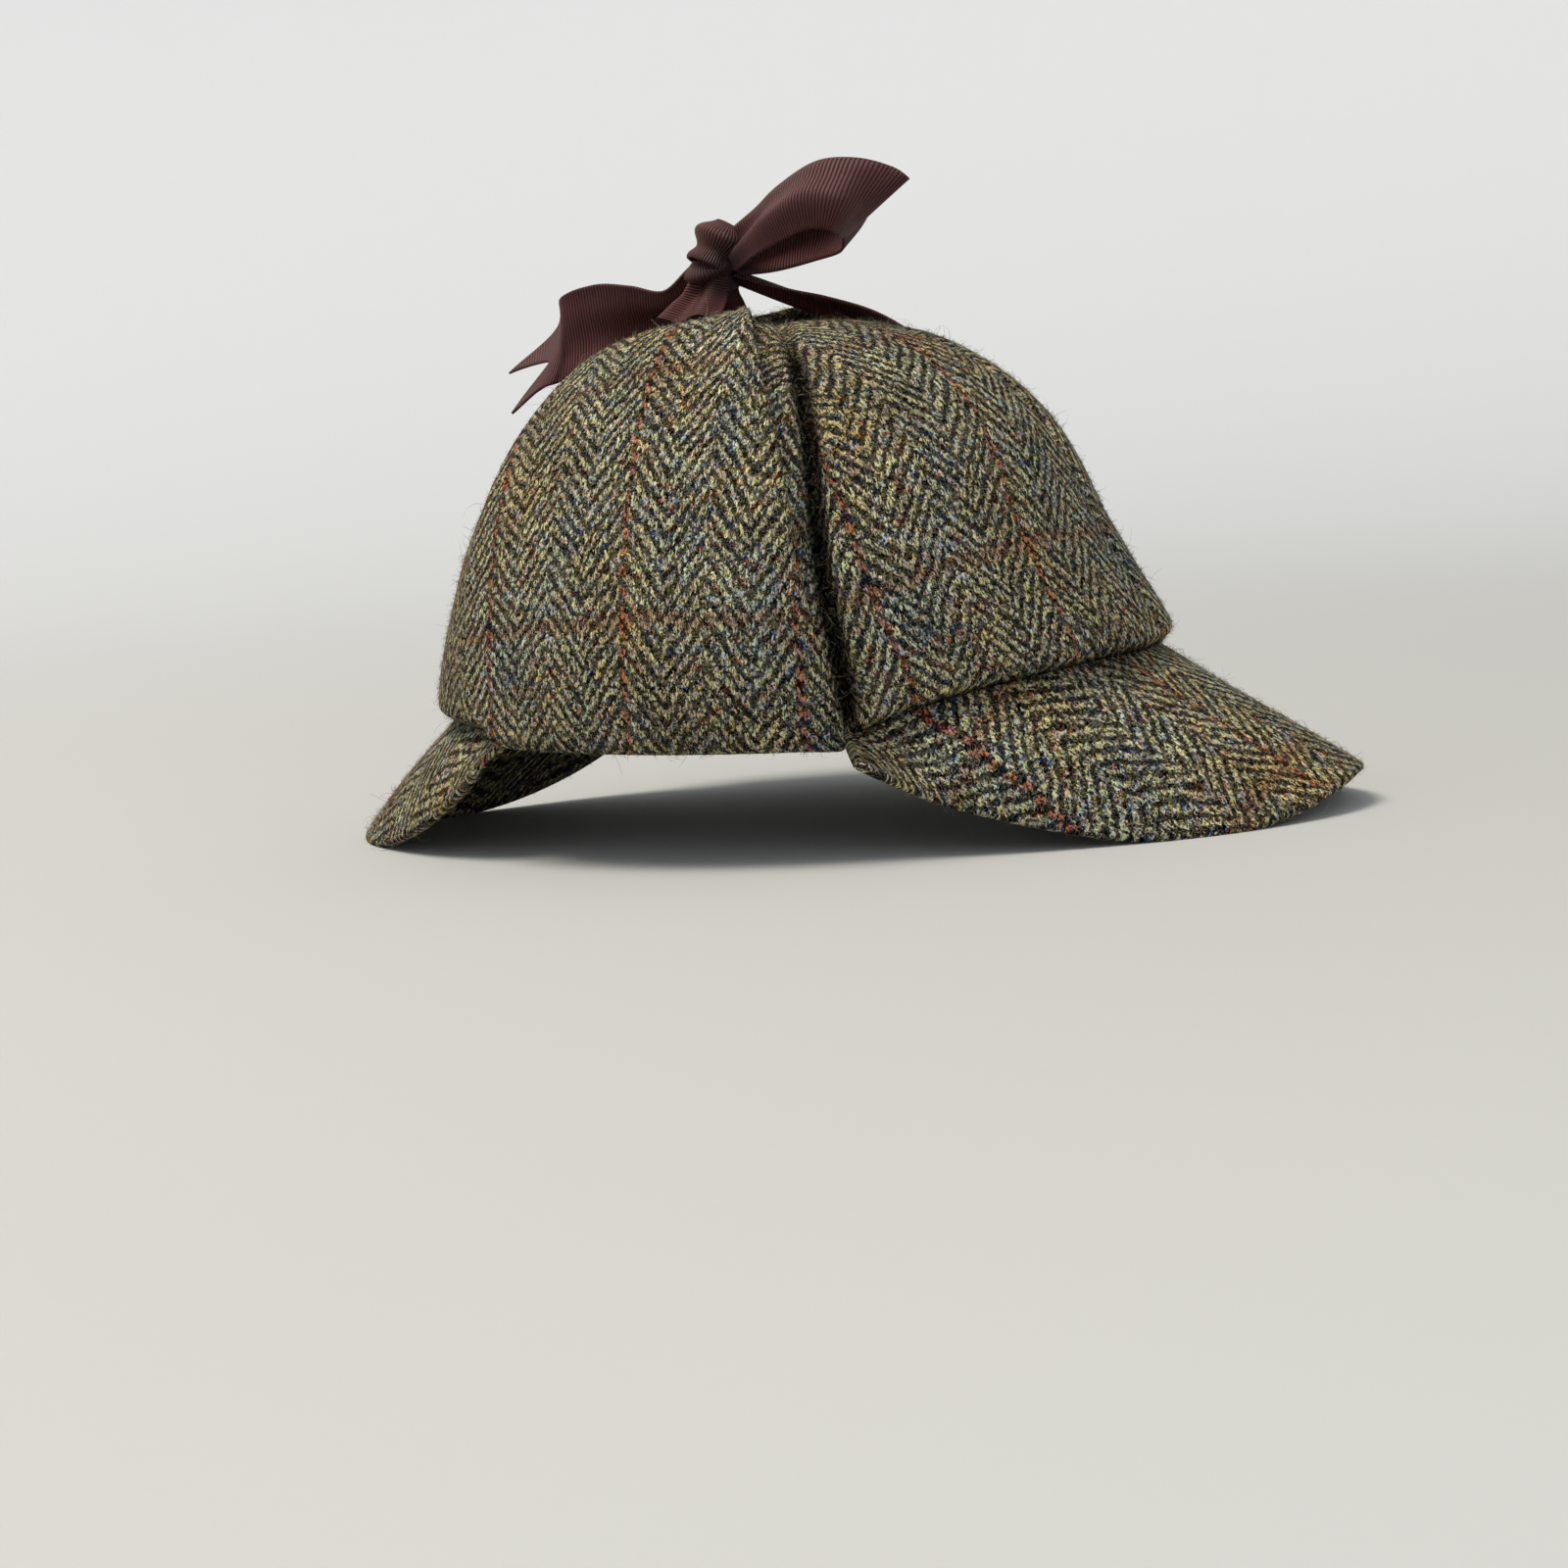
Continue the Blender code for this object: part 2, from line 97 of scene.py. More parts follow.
FRONT_FLARE = 0.0045        # how far the front edge stands off at its middle
FRONT_BACK = 0.0024         # how far it is drawn back there
TAIL_NOTCH = 0.011          # depth of the V in a loose end
PLEATS = 3                  # pleats of a ribbon that is drawn in
PLEAT_DEPTH = 0.30          # their depth for their width, at twice the cloth
KNOT_ROUNDING = 0.28        # how much smaller the knot is at the edges of a turn

# ---------------------------------------------------------------- tables
def table(kind, rows):
    """Rows of a table, with its columns named."""
    return tuple(kind(*row) for row in rows)


CrownRow = namedtuple("CrownRow", "height front side back")
CROWN = table(CrownRow, (
    (-0.006, 0.1044, 0.0838, 0.1018),
    (0.010, 0.1046, 0.0846, 0.1012),
    (0.022, 0.1020, 0.0844, 0.0992),
    (0.037, 0.0940, 0.0815, 0.0950),
    (0.052, 0.0863, 0.0765, 0.0900),
    (0.066, 0.0805, 0.0700, 0.0832),
    (0.078, 0.0738, 0.0622, 0.0750),
    (0.088, 0.0650, 0.0538, 0.0655),
    (0.0965, 0.0540, 0.0445, 0.0545),
    (0.1030, 0.0415, 0.0345, 0.0425),
    (0.1070, 0.0265, 0.0222, 0.0275),
    (0.1088, 0.0120, 0.0100, 0.0125),
    (0.1091, 0.0012, 0.0012, 0.0012),
))

EdgeRow = namedtuple("EdgeRow", "turn height")
CROWN_EDGE = table(EdgeRow, (
    (0, 0.0185),
    (23, 0.0182),
    (45, 0.0150),
    (59, 0.0105),
    (68, 0.0056),
    (76, 0.0058),
    (100, 0.0068),
    (124, 0.0080),
    (134, 0.0084),
    (150, 0.0094),
    (180, 0.0102),
))

PeakRow = namedtuple("PeakRow", "turn aside ahead above camber")
FRONT_PEAK = table(PeakRow, (
    (0, 0.0000, 0.1540, -0.0170, 0.0008),
    (7, 0.0170, 0.1508, -0.0197, 0.0008),
    (17, 0.0340, 0.1410, -0.0243, 0.0012),
    (29, 0.0490, 0.1260, -0.0271, 0.0020),
    (42, 0.0610, 0.1055, -0.0262, 0.0026),
    (54, 0.0710, 0.0810, -0.0203, 0.0024),
    (63, 0.0775, 0.0590, -0.0125, 0.0014),
    (69, 0.0825, 0.0425, -0.0015, 0.0000),
))
BACK_PEAK = table(PeakRow, (
    (180, 0.0000, -0.1325, -0.0250, 0.0012),
    (171, 0.0140, -0.1303, -0.0261, 0.0012),
    (160, 0.0280, -0.1220, -0.0269, 0.0014),
    (149, 0.0420, -0.1080, -0.0242, 0.0018),
    (139, 0.0540, -0.0930, -0.0183, 0.0018),
    (133, 0.0610, -0.0815, -0.0111, 0.0010),
    (129.5, 0.0655, -0.0725, -0.0030, 0.0000),
))

FlapRow = namedtuple("FlapRow", "share front back lift")
FLAP = table(FlapRow, (
    (0.00, 0.0375, -0.0610, 0.0055),
    (0.05, 0.0366, -0.0665, 0.0058),
    (0.12, 0.0348, -0.0695, 0.0060),
    (0.25, 0.0308, -0.0692, 0.0062),
    (0.45, 0.0255, -0.0672, 0.0064),
    (0.65, 0.0168, -0.0615, 0.0066),
    (0.80, 0.0085, -0.0510, 0.0066),
    (0.92, 0.0012, -0.0385, 0.0062),
    (1.00, -0.0035, -0.0290, 0.0056),
))

# ribbon rows are measured from BOW_PLACE; the wide_ columns point across the ribbon
BOW_PLACE = Vector((0.0, 0.0165, 0.1268))
KNOT_CENTRE = Vector((0.0, 0.0155, 0.1280))
KNOT_HOLLOW = Vector((-0.004, 0.0105, 0.1245))      # between the folds, where little light goes
RibbonRow = namedtuple("RibbonRow", "ahead right up width wide_ahead wide_right wide_up cup")
LOOP_RIGHT = table(RibbonRow, (
    (0.0070, 0.0020, 0.0030, 0.012, 0.1, 0.5, -0.85, 0.0),
    (0.0150, 0.0060, 0.0072, 0.0145, 0.0, 0.6, -0.80, 0.0012),
    (0.0230, 0.0092, 0.0112, 0.0165, 0.0, 0.50, -0.86, 0.0034),
    (0.0330, 0.0104, 0.0153, 0.0192, -0.1, 0.45, -0.88, 0.0046),
    (0.0410, 0.0098, 0.0152, 0.0208, -0.3, 0.40, -0.86, 0.0034),
    (0.0465, 0.0065, 0.0130, 0.0235, -0.60, 0.3, -0.72, 0.0006),
    (0.0485, 0.0020, 0.0112, 0.0235, -0.78, 0.1, -0.60, 0.0),
    (0.0460, -0.0030, 0.0115, 0.0235, -0.70, 0.15, -0.68, 0.0),
    (0.0400, -0.0062, 0.0108, 0.0225, -0.40, 0.05, -0.90, 0.0030),
    (0.0300, -0.0062, 0.0088, 0.020, -0.2, -0.05, -0.98, 0.0052),
    (0.0200, -0.0040, 0.0056, 0.017, -0.1, 0.0, -0.98, 0.0036),
    (0.0085, -0.0010, 0.0010, 0.012, 0.0, 0.5, -0.85, 0.0),
))
LOOP_LEFT = table(RibbonRow, (
    (0.0040, -0.0050, 0.0027, 0.011, 0.15, 0.3, -0.94, 0.0),
    (0.0115, -0.0135, 0.0078, 0.014, 0.20, 0.45, -0.87, 0.0008),
    (0.0180, -0.0210, 0.0120, 0.018, 0.25, 0.6, -0.76, 0.0014),
    (0.0230, -0.0275, 0.0145, 0.0220, 0.25, 0.6, -0.76, 0.0014),
    (0.0250, -0.0320, 0.0145, 0.0225, 0.15, 0.7, -0.70, 0.0004),
    (0.0235, -0.0345, 0.0130, 0.0225, 0.10, 0.7, -0.70, 0.0),
    (0.0200, -0.0325, 0.0112, 0.0225, 0.15, 0.65, -0.74, 0.0006),
    (0.0150, -0.0265, 0.0088, 0.0210, 0.20, 0.55, -0.82, 0.0010),
    (0.0095, -0.0185, 0.0052, 0.016, 0.20, 0.45, -0.87, 0.0006),
    (0.0010, -0.0060, -0.0007, 0.011, 0.15, 0.3, -0.94, 0.0),
))
TAIL_BACK = table(RibbonRow, (
    (-0.0050, -0.0004, -0.0035, 0.010, -0.30, -0.60, -0.75, 0.0),
    (-0.0150, -0.0030, -0.0115, 0.017, -0.28, -0.80, -0.52, 0.0010),
    (-0.0265, -0.0040, -0.0132, 0.0205, -0.16, -0.47, -0.86, 0.0020),
    (-0.0370, -0.0045, -0.0137, 0.0220, 0.0, -0.10, -1.0, 0.0022),
    (-0.0470, -0.0045, -0.0165, 0.0230, 0.03, 0.10, -1.0, 0.0020),
    (-0.0520, -0.0042, -0.0220, 0.0235, 0.03, 0.72, -0.70, 0.0010),
    (-0.0645, -0.0040, -0.0308, 0.0235, 0.34, 0.81, -0.48, 0.0004),
))
TAIL_FRONT = table(RibbonRow, (
    (0.0060, -0.0030, -0.0040, 0.010, -0.21, -0.91, -0.30, 0.0),
    (0.0145, -0.0075, -0.0078, 0.014, -0.21, -0.91, -0.30, 0.0006),
    (0.0205, -0.0130, -0.0108, 0.018, -0.21, -0.91, -0.30, 0.0010),
    (0.0265, -0.0200, -0.0142, 0.0205, -0.25, -0.90, -0.37, 0.0010),
    (0.0335, -0.0300, -0.0197, 0.0230, -0.35, -0.84, -0.44, 0.0006),
    (0.0395, -0.0400, -0.0272, 0.0235, -0.40, -0.74, -0.58, 0.0004),
    (0.0450, -0.0485, -0.0358, 0.0235, -0.40, -0.65, -0.68, 0.0),
))
TIE_RIGHT = table(RibbonRow, (
    (-0.0036, 0.0126, -0.0146, 0.0175, 1.0, 0.0, 0.0, 0.0),
    (-0.0022, 0.0086, -0.0114, 0.0150, 1.0, 0.0, 0.0, 0.0004),
    (-0.0010, 0.0052, -0.0085, 0.0125, 1.0, 0.0, 0.0, 0.0006),
    (0.0005, 0.0030, -0.0030, 0.0100, 1.0, 0.0, 0.0, 0.0),
))
TIE_LEFT = tuple(row._replace(right=-row.right) for row in TIE_RIGHT)

KnotTurn = namedtuple("KnotTurn", "name centre half tilt lean start end")
KNOT_TURNS = (
    KnotTurn("knot_turn_upper", centre=(0, -0.0012, 0.0034), half=(0.0060, 0.0066, 0.0064),
             tilt=0.30, lean=0.50, start=0.0, end=7.0),
    KnotTurn("knot_turn_lower", centre=(0, 0.0012, -0.0040), half=(0.0056, 0.0062, 0.0054),
             tilt=-0.30, lean=-0.20, start=1.0, end=7.6),
)

FibreKind = namedtuple("FibreKind", "name length curl rings")
FIBRE_KINDS = (FibreKind("fuzz", 0.0015, 1.2, 2), FibreKind("strays", 0.0038, 2.8, 6))


# ---------------------------------------------------------------- what a user may change
def length_prop(name, description, default, precision=4):
    return bpy.props.FloatProperty(name=name, description=description, default=default,
                                   unit='LENGTH', precision=precision)


def angle_prop(name, description, degrees):
    return bpy.props.FloatProperty(name=name, description=description,
                                   default=math.radians(degrees), subtype='ANGLE')


def number_prop(name, description, default):
    return bpy.props.FloatProperty(name=name, description=description, default=default)


def count_prop(name, description, default):
    return bpy.props.IntProperty(name=name, description=description, default=default)


def colour_prop(name, description, default):
    return bpy.props.FloatVectorProperty(name=name, description=description, default=default,
                                         subtype='COLOR')


class TweedLook(bpy.types.PropertyGroup):
    """Sizes of the tweed's weave and fuzz."""
    yarn: length_prop("Warp yarn", "Distance from one warp yarn to the next", 0.00097, 5)
    pick: length_prop("Weft yarn", "Distance from one weft yarn to the next", 0.00134, 5)
    column: count_prop("Herringbone column", "Yarns in one column of the herringbone", 12)
    check: count_prop("Overcheck", "Warp yarns from one rust line to the next", 48)
    check_up: count_prop("Overcheck, lengthwise", "Weft yarns from one brown line to the next", 54)
    relief: length_prop("Relief", "Depth of the weave", 0.0007, 5)
    fuzz_per_cm2: number_prop("Fuzz", "Short raised fibres on a square centimetre", 32.0)
    strays_per_cm2: number_prop("Stray hairs", "Long curled fibres on a square centimetre", 6.0)
    fibre_radius: length_prop("Fibre", "Radius of a raised fibre", 0.00006, 6)


class RibbonLook(bpy.types.PropertyGroup):
    """Sizes and colours of the grosgrain ribbon."""
    width: length_prop("Width", "Width of the flat ribbon", 0.0235)
    rib: length_prop("Rib", "Distance from one cross rib to the next", 0.00085, 5)
    # painted highlight: colour of the ribs' lit tops; painted shade: colour between the ribs
    colour: colour_prop("Colour", "Colour on top of the ribs", (0.092, 0.022, 0.020))
    shade: colour_prop("Shade", "Colour between the ribs", (0.005, 0.0009, 0.0014))


class StageLook(bpy.types.PropertyGroup):
    """Place of the camera and strength of the lights."""
    azimuth: angle_prop("Azimuth", "Camera's bearing from the front", -71)
    elevation: angle_prop("Elevation", "Camera's height angle", 7.2)
    roll: angle_prop("Roll", "Camera's turn about its own axis", -4.3)
    distance: length_prop("Distance", "Camera to the hat", 0.9)
    picture_width: length_prop("Picture width", "Width of the view at the hat", 0.4352)
    key_power: number_prop("Key light", "Power of the overhead softbox, watts", 27.0)
    fill_power: number_prop("Fill light", "Power of the side softbox, watts", 3.0)


# ---------------------------------------------------------------- reading the tables
def slope_at(column, keys, index):
    """Slope of a table column at one of its rows."""
    before = max(index - 1, 0)
    after = min(index + 1, len(keys) - 1)
    return (column[after] - column[before]) / (keys[after] - keys[before])


def smooth_row(rows, key, value):
    """The row at a value of its key column, on a smooth curve through the table's rows."""
    keys = [getattr(row, key) for row in rows]
    if keys[0] > keys[-1]:
        rows = rows[::-1]
        keys = keys[::-1]
    value = min(max(value, keys[0]), keys[-1])
    low = 0
    while low < len(keys) - 2 and value > keys[low + 1]:
        low += 1
    span = keys[low + 1] - keys[low]
    part = (value - keys[low]) / span
    square = part * part
    cube = square * part
    return type(rows[0])(*(
        (2 * cube - 3 * square + 1) * column[low]
        + (cube - 2 * square + part) * span * slope_at(column, keys, low)
        + (3 * square - 2 * cube) * column[low + 1]
        + (cube - square) * span * slope_at(column, keys, low + 1)
        for column in zip(*rows)))


def numbered(rows):
    """The rows with a share column that runs evenly from 0 to 1."""
    Numbered = namedtuple("Numbered", ("share",) + rows[0]._fields)
    last = len(rows) - 1
    return tuple(Numbered(index / last, *row) for index, row in enumerate(rows))


CROWN_BY_SHARE = numbered(CROWN)


# ---------------------------------------------------------------- crown surface
def halved(is_low, low=0.0, high=1.0, steps=24):
    """Where a test that holds at low stops holding, found by halving."""
    for _ in range(steps):
        middle = (low + high) / 2
        if is_low(middle):
            low = middle
        else:
            high = middle
    return low


@lru_cache(maxsize=None)
def crown_share(height):
    """Share of the way up the crown's table at which it has this height."""
    return halved(lambda share: smooth_row(CROWN_BY_SHARE, "share", share).height < height)


def crown_reach(row, ahead):
    """The crown's reach from its axis at a row: to the front if ahead is over 0, or to the back."""
    return row.front if ahead > 0 else row.back


def crown_on(turn, share):
    """Point on the outside of the crown; turn is in degrees from the front, right is plus."""
    row = smooth_row(CROWN_BY_SHARE, "share", share)
    swing = math.radians(turn)
    reach = crown_reach(row, math.cos(swing))
    return Vector((-row.side * math.sin(swing), -reach * math.cos(swing), row.height))


def crown_out(turn, share):
    """Direction out of the crown's surface."""
    step = 0.004
    up = crown_on(turn, min(share + step, 1.0)) - crown_on(turn, max(share - step, 0.0))
    along = crown_on(turn + 1.0, share) - crown_on(turn - 1.0, share)
    return up.cross(along).normalized()


@lru_cache(maxsize=None)
def crown_edge(turn):
    """Height of the crown's lower edge above the rim."""
    return smooth_row(CROWN_EDGE, "turn", abs((turn + 180.0) % 360.0 - 180.0)).height


def crown_point(turn, share, lift):
    """Point at a distance out from the crown's surface."""
    return crown_on(turn, share) + crown_out(turn, share) * lift


# ---------------------------------------------------------------- making panels
PANELS = {}     # name of each tweed panel: the points of its outer face, for the fuzz


def panel_cut(points):
    """Flat place of each point of a panel: across from its centre line, and up that line."""
    middle = points.shape[1] // 2
    steps = np.linalg.norm(np.diff(points, axis=1), axis=2)
    across = np.cumsum(np.pad(steps, ((0, 0), (1, 0))), axis=1)
    across -= across[:, middle:middle + 1]
    climb = np.linalg.norm(np.diff(points[:, middle], axis=0), axis=1)
    along = np.concatenate(([0.0], np.cumsum(climb)))
    return np.stack((across, np.repeat(along[:, None], points.shape[1], axis=1)), axis=2)


def peak_cut(points):
    """Flat place of each point of a peak, whose cloth runs straight from back to front."""
    sides = []
    for edge in (points[0], points[-1]):
        steps = np.hypot(np.diff(edge[:, 0]), np.diff(edge[:, 2]))
        across = np.concatenate(([0.0], np.cumsum(steps)))
        sides.append(across - across[len(across) // 2])
    share = np.linspace(0.0, 1.0, points.shape[0])[:, None]
    across = sides[0] * (1 - share) + sides[1] * share
    reach = np.linalg.norm(points[-1] - points[0], axis=1)
    ahead = np.sqrt(np.maximum(reach ** 2 - (sides[1] - sides[0]) ** 2, 0.0))
    return np.stack((across, np.abs(points[0][:, 1]) + share * ahead), axis=2)


def flap_cut(points):
    """Flat place of each point of a flap, whose cloth hangs straight from a line on its face."""
    steps = np.linalg.norm(np.diff(points, axis=1), axis=2)
    across = np.cumsum(np.pad(steps, ((0, 0), (1, 0))), axis=1)
    for row, ahead in zip(across, points[..., 1]):
        order = np.argsort(ahead)
        row -= np.interp(FLAP_LINE, ahead[order], row[order])
    return np.stack((across, panel_cut(points)[..., 1]), axis=2)


def panel_points(columns, rows, surface):
    """The points of a panel: rows of the places that surface gives for (across, along)."""
    return np.array([[surface(column / columns, row / rows) + HAT_PLACE
                      for column in range(columns + 1)] for row in range(rows + 1)])


def panel_out(points):
    """Direction out of the panel at each of its points."""
    out = np.cross(np.gradient(points, axis=1), np.gradient(points, axis=0))
    return out / np.maximum(np.linalg.norm(out, axis=2, keepdims=True), 1e-12)


def panel_area(points):
    """Area of a panel's outer face."""
    across = np.diff(points, axis=1)[:-1]
    along = np.diff(points, axis=0)[:, :-1]
    return float(np.linalg.norm(np.cross(across, along), axis=2).sum())


def grid_piece(name, points, flat, depth=None):
    """A smooth grid bent to rows of points, with its flat map and a second map of how deep in a
    seam each point lies, for painted shade.
    """
    rows, columns = points.shape[0] - 1, points.shape[1] - 1
    form = bmesh.new()
    bmesh.ops.create_grid(form, x_segments=columns, y_segments=rows, size=0.5)
    places = []
    for vertex in form.verts:
        place = (round((vertex.co.y + 0.5) * rows), round((vertex.co.x + 0.5) * columns))
        vertex.co = points[place]
        places.append(place)
    layer = form.loops.layers.uv.new("cut")
    # the second map holds how deep in a seam each point lies, which the tweed turns into painted
    # shade
    sunk = form.loops.layers.uv.new("sunk") if depth is not None else None
    for face in form.faces:
        face.smooth = True
        for corner in face.loops:
            corner[layer].uv = flat[places[corner.vert.index]]
            if sunk:
                corner[sunk].uv = (depth[places[corner.vert.index]], 0.0)
    bmesh.ops.remove_doubles(form, verts=form.verts, dist=2e-6)
    mesh = bpy.data.meshes.new(name)
    form.to_mesh(mesh)
    form.free()
    piece = bpy.data.objects.new(name, mesh)
    bpy.context.scene.collection.objects.link(piece)
    return piece


def thin_panel(name, points, flat, thickness, offset=-1.0, depth=None):
    """A panel of even thickness with cut edges."""
    piece = grid_piece(name, points, flat, depth)
    wall = piece.modifiers.new("cloth", 'SOLIDIFY')
    wall.thickness = thickness
    wall.offset = offset
    return piece


EDGE_TURNS = [math.pi * step / 6 for step in range(1, 6)]      # round a rolled edge
CAP_TURNS = [math.radians(turn) for turn in (30, 60, 90)]       # round a rolled end


def rolled_panel(name, points, flat, thickness, thinned=None):
    """A panel whose faces meet in round edges, and the points of its outer face and edges."""
    out = panel_out(points)
    half = (thickness / 2) * (np.ones(points.shape[:2]) if thinned is None else thinned)[..., None]
    middle = points - out * half
    inner = points - out * half * 2

    def edge(column, neighbour, sign):
        away = points[:, column] - points[:, neighbour]
        away = away / np.linalg.norm(away, axis=1, keepdims=True)
        return np.stack([
            middle[:, column] + half[:, column] * (
                sign * out[:, column] * math.cos(turn) + away * math.sin(turn))
            for turn in EDGE_TURNS], axis=1)

    # each row goes right round the cloth: outer face, rolled edge, inner face, rolled edge
    loop = np.concatenate(
        (points, edge(-1, -2, 1), inner[:, ::-1], edge(0, 1, -1), points[:, :1]), axis=1)
    spread = thickness / 2 * np.array(EDGE_TURNS)
    across, along = flat[..., 0], flat[..., 1]
    last = across[:, -1:]
    back = last + thickness * math.pi / 2
    width = across[:, -1:] - across[:, :1]
    across = np.concatenate(
        (across, last + spread, back + last - across[:, ::-1], back + width + spread,
         back + width + thickness * math.pi / 2), axis=1)
    rolled = len(EDGE_TURNS)
    along = np.concatenate(
        (along, np.repeat(along[:, -1:], rolled, axis=1), along[:, ::-1],
         np.repeat(along[:, :1], rolled + 1, axis=1)), axis=1)
    # and this is the point inside the cloth that each point of the row is rolled round
    heart = np.concatenate(
        (middle, np.repeat(middle[:, -1:], rolled, axis=1), middle[:, ::-1],
         np.repeat(middle[:, :1], rolled + 1, axis=1)), axis=1)

    def cap(row, neighbour):
        away = heart[row] - heart[neighbour]
        away = away / np.maximum(np.linalg.norm(away, axis=1, keepdims=True), 1e-12)
        reach = np.linalg.norm(loop[row] - heart[row], axis=1, keepdims=True).max()
        return [heart[row] + (loop[row] - heart[row]) * math.cos(turn)
                + away * reach * math.sin(turn) for turn in CAP_TURNS]

    whole = np.stack(cap(0, 1)[::-1] + list(loop) + cap(-1, -2))
    across = np.pad(across, ((len(CAP_TURNS), len(CAP_TURNS)), (0, 0)), mode="edge")
    steps = thickness / 2 * np.array(CAP_TURNS)[:, None]
    along = np.concatenate((along[:1] - steps[::-1], along, along[-1:] + steps))
    whole[..., 2] = np.maximum(whole[..., 2], 0.0)
    piece = grid_piece(name, whole, np.stack((across, along), axis=2))
    seen = points.shape[1] + rolled
    return piece, np.concatenate((whole[:, -rolled - 1:-1], whole[:, :seen]), axis=1)


def dress(piece, material, slot, *nodes):
    """Gives a piece its material and its body, and hides the CAD nodes that it stands for; slot is
    not used.
    """
    piece.data.materials.append(material)
    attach(piece, "root")
    if nodes:
        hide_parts(*nodes)


def waved(point, out):
    """The point moved in or out by the soft unevenness of the cloth."""
    return point + out * (CLOTH_WAVE * noise.noise(point / CLOTH_WAVE_SIZE))


def eased(share):
    """A share spaced so that steps are finer near both ends."""
    return 0.5 - 0.5 * math.cos(math.pi * share)


# ---------------------------------------------------------------- crown
GORE_ORIGINS = {      # where each gore lies on the cloth
    "front": np.array((-0.0048, 0.0387)),
    "side": np.array((0.0, 0.020)),
    "back": np.array((0.010, 0.030)),
}
GORE_COLUMNS = 44
GORE_ROWS = 84
ROW_CROWDING = 1.5      # how much a gore's rows crowd towards its lower edge


def gore(place, side_name, start, end):
    """One gore between two seams, given in degrees from the front."""
    def spot(across, along):
        """A spot's turn and share on the crown, how far it swells and how far it is drawn in, which
        also sets its painted shade.
        """
        across = eased(across)
        turn = end + (start - end) * across
        lowest = crown_share(crown_edge(turn) - (SEAM_LAP if place != "side" else 0.0))
        share = lowest + (1.0 - lowest) * along ** ROW_CROWDING
        on = crown_on(turn, share)
        width = math.radians(abs(end - start)) * math.hypot(on.x, on.y)
        from_seam = min(across, 1 - across) * width
        puff = GORE_PUFF * math.sin(math.pi * across) ** 0.5 * min(1.0, (1 - share) / PUFF_FADE)
        sink = SEAM_SINK * math.exp(-(from_seam / SEAM_ROLL) ** 2) * min(1.0, width / SEAM_FADE)
        climb = crown_on(turn, share).z - crown_on(turn, lowest).z
        if place != "side":
            sink += EDGE_TUCK * math.exp(-(climb / EDGE_ROLL) ** 2)
        if place != "back":
            from_crease = (across if place == "front" else 1 - across) * width
            deep = eased(min(1.0, max(0.0, (CREASE_END - share) / CREASE_FADE)))
            deep *= eased(min(1.0, climb / CREASE_START))
            sink += CREASE_SINK * deep * math.exp(-(from_crease / CREASE_ROLL) ** 2)
        return turn, share, puff, sink

    def surface(across, along):
        turn, share, puff, sink = spot(across, along)
        return waved(crown_point(turn, share, puff - sink), crown_out(turn, share))

    name = f"tweed_crown_{place}_{side_name}"
    points = panel_points(GORE_COLUMNS, GORE_ROWS, surface)
    # painted shade: how deep each point lies in a seam, from where the cloth starts to darken to
    # where it is darkest
    depth = np.array([[spot(column / GORE_COLUMNS, row / GORE_ROWS)[3]
                       for column in range(GORE_COLUMNS + 1)] for row in range(GORE_ROWS + 1)])
    depth = np.clip((depth - SHADE_START) / SHADE_RANGE, 0.0, 1.0)
    origin = GORE_ORIGINS[place] * np.array((1 if side_name == "right" else -1, 1))
    PANELS[name] = points
    return thin_panel(name, points, panel_cut(points) + origin, CROWN_CLOTH, depth=depth)


# ---------------------------------------------------------------- peaks
PEAK_ORIGIN = np.array((0.0252, 0.011))     # where a peak lies on the cloth


def swap_flat(piece):
    """Turns the flat map back after a panel was rolled from back to front."""
    for corner in piece.data.uv_layers["cut"].data:
        corner.uv = (corner.uv.y, corner.uv.x)


def peak(name, rows, columns, depth_rows):
    """A peak from under the crown's edge out to the curve in its table."""
    middle = rows[0].turn
    spread = abs(rows[-1].turn - middle)
    mirrored = [row._replace(turn=2 * middle - row.turn, aside=-row.aside) for row in rows[:0:-1]]
    whole = (*mirrored, *rows)

    def surface(across, along):
        turn = middle + spread * (2 * across - 1)
        row = smooth_row(whole, "turn", turn)
        share = crown_share(crown_edge(turn) - PEAK_GAP)
        inner = crown_point(turn, share, -PEAK_TUCK)
        inner.z -= PEAK_GAP
        outer = Vector((-row.aside, -row.ahead, row.above))
        slope = (outer - inner).normalized()
        outer -= slope * PEAK_CLOTH / 2
        out = crown_out(turn, share)
        rise = (out - slope * out.dot(slope)).normalized()
        point = inner.lerp(outer, along) + rise * (4 * along * (1 - along) * row.camber)
        return waved(point, rise)

    points = panel_points(columns, depth_rows, surface)
    flat = peak_cut(points) + PEAK_ORIGIN
    piece, PANELS["tweed_" + name] = rolled_panel(
        "tweed_" + name, points.transpose(1, 0, 2)[::-1], flat.transpose(1, 0, 2)[::-1, :, ::-1],
        PEAK_CLOTH)
    swap_flat(piece)
    return piece


# ---------------------------------------------------------------- ear flaps
def on_section(ahead, angle):
    """Turn and share of the crown's point in the plane ahead, at an angle round its hub."""
    def is_low(share):
        row = smooth_row(CROWN_BY_SHARE, "share", share)
        reach = crown_reach(row, ahead)
        if abs(ahead) >= reach:
            return False
        aside = row.side * math.sqrt(1 - (ahead / reach) ** 2)
        return math.atan2(row.height - FLAP_HUB_HEIGHT, aside) < angle

    share = halved(is_low)
    reach = crown_reach(smooth_row(CROWN_BY_SHARE, "share", share), ahead)
    return math.degrees(math.acos(max(-1.0, min(1.0, ahead / reach)))), share


@lru_cache(maxsize=None)
def fold_height(ahead):
    """Height of the centre of the flap's fold above the rim."""
    reach = crown_reach(CROWN[1], ahead)
    return crown_edge(math.degrees(math.acos(ahead / reach))) - FOLD_DROP + FOLD_RADIUS


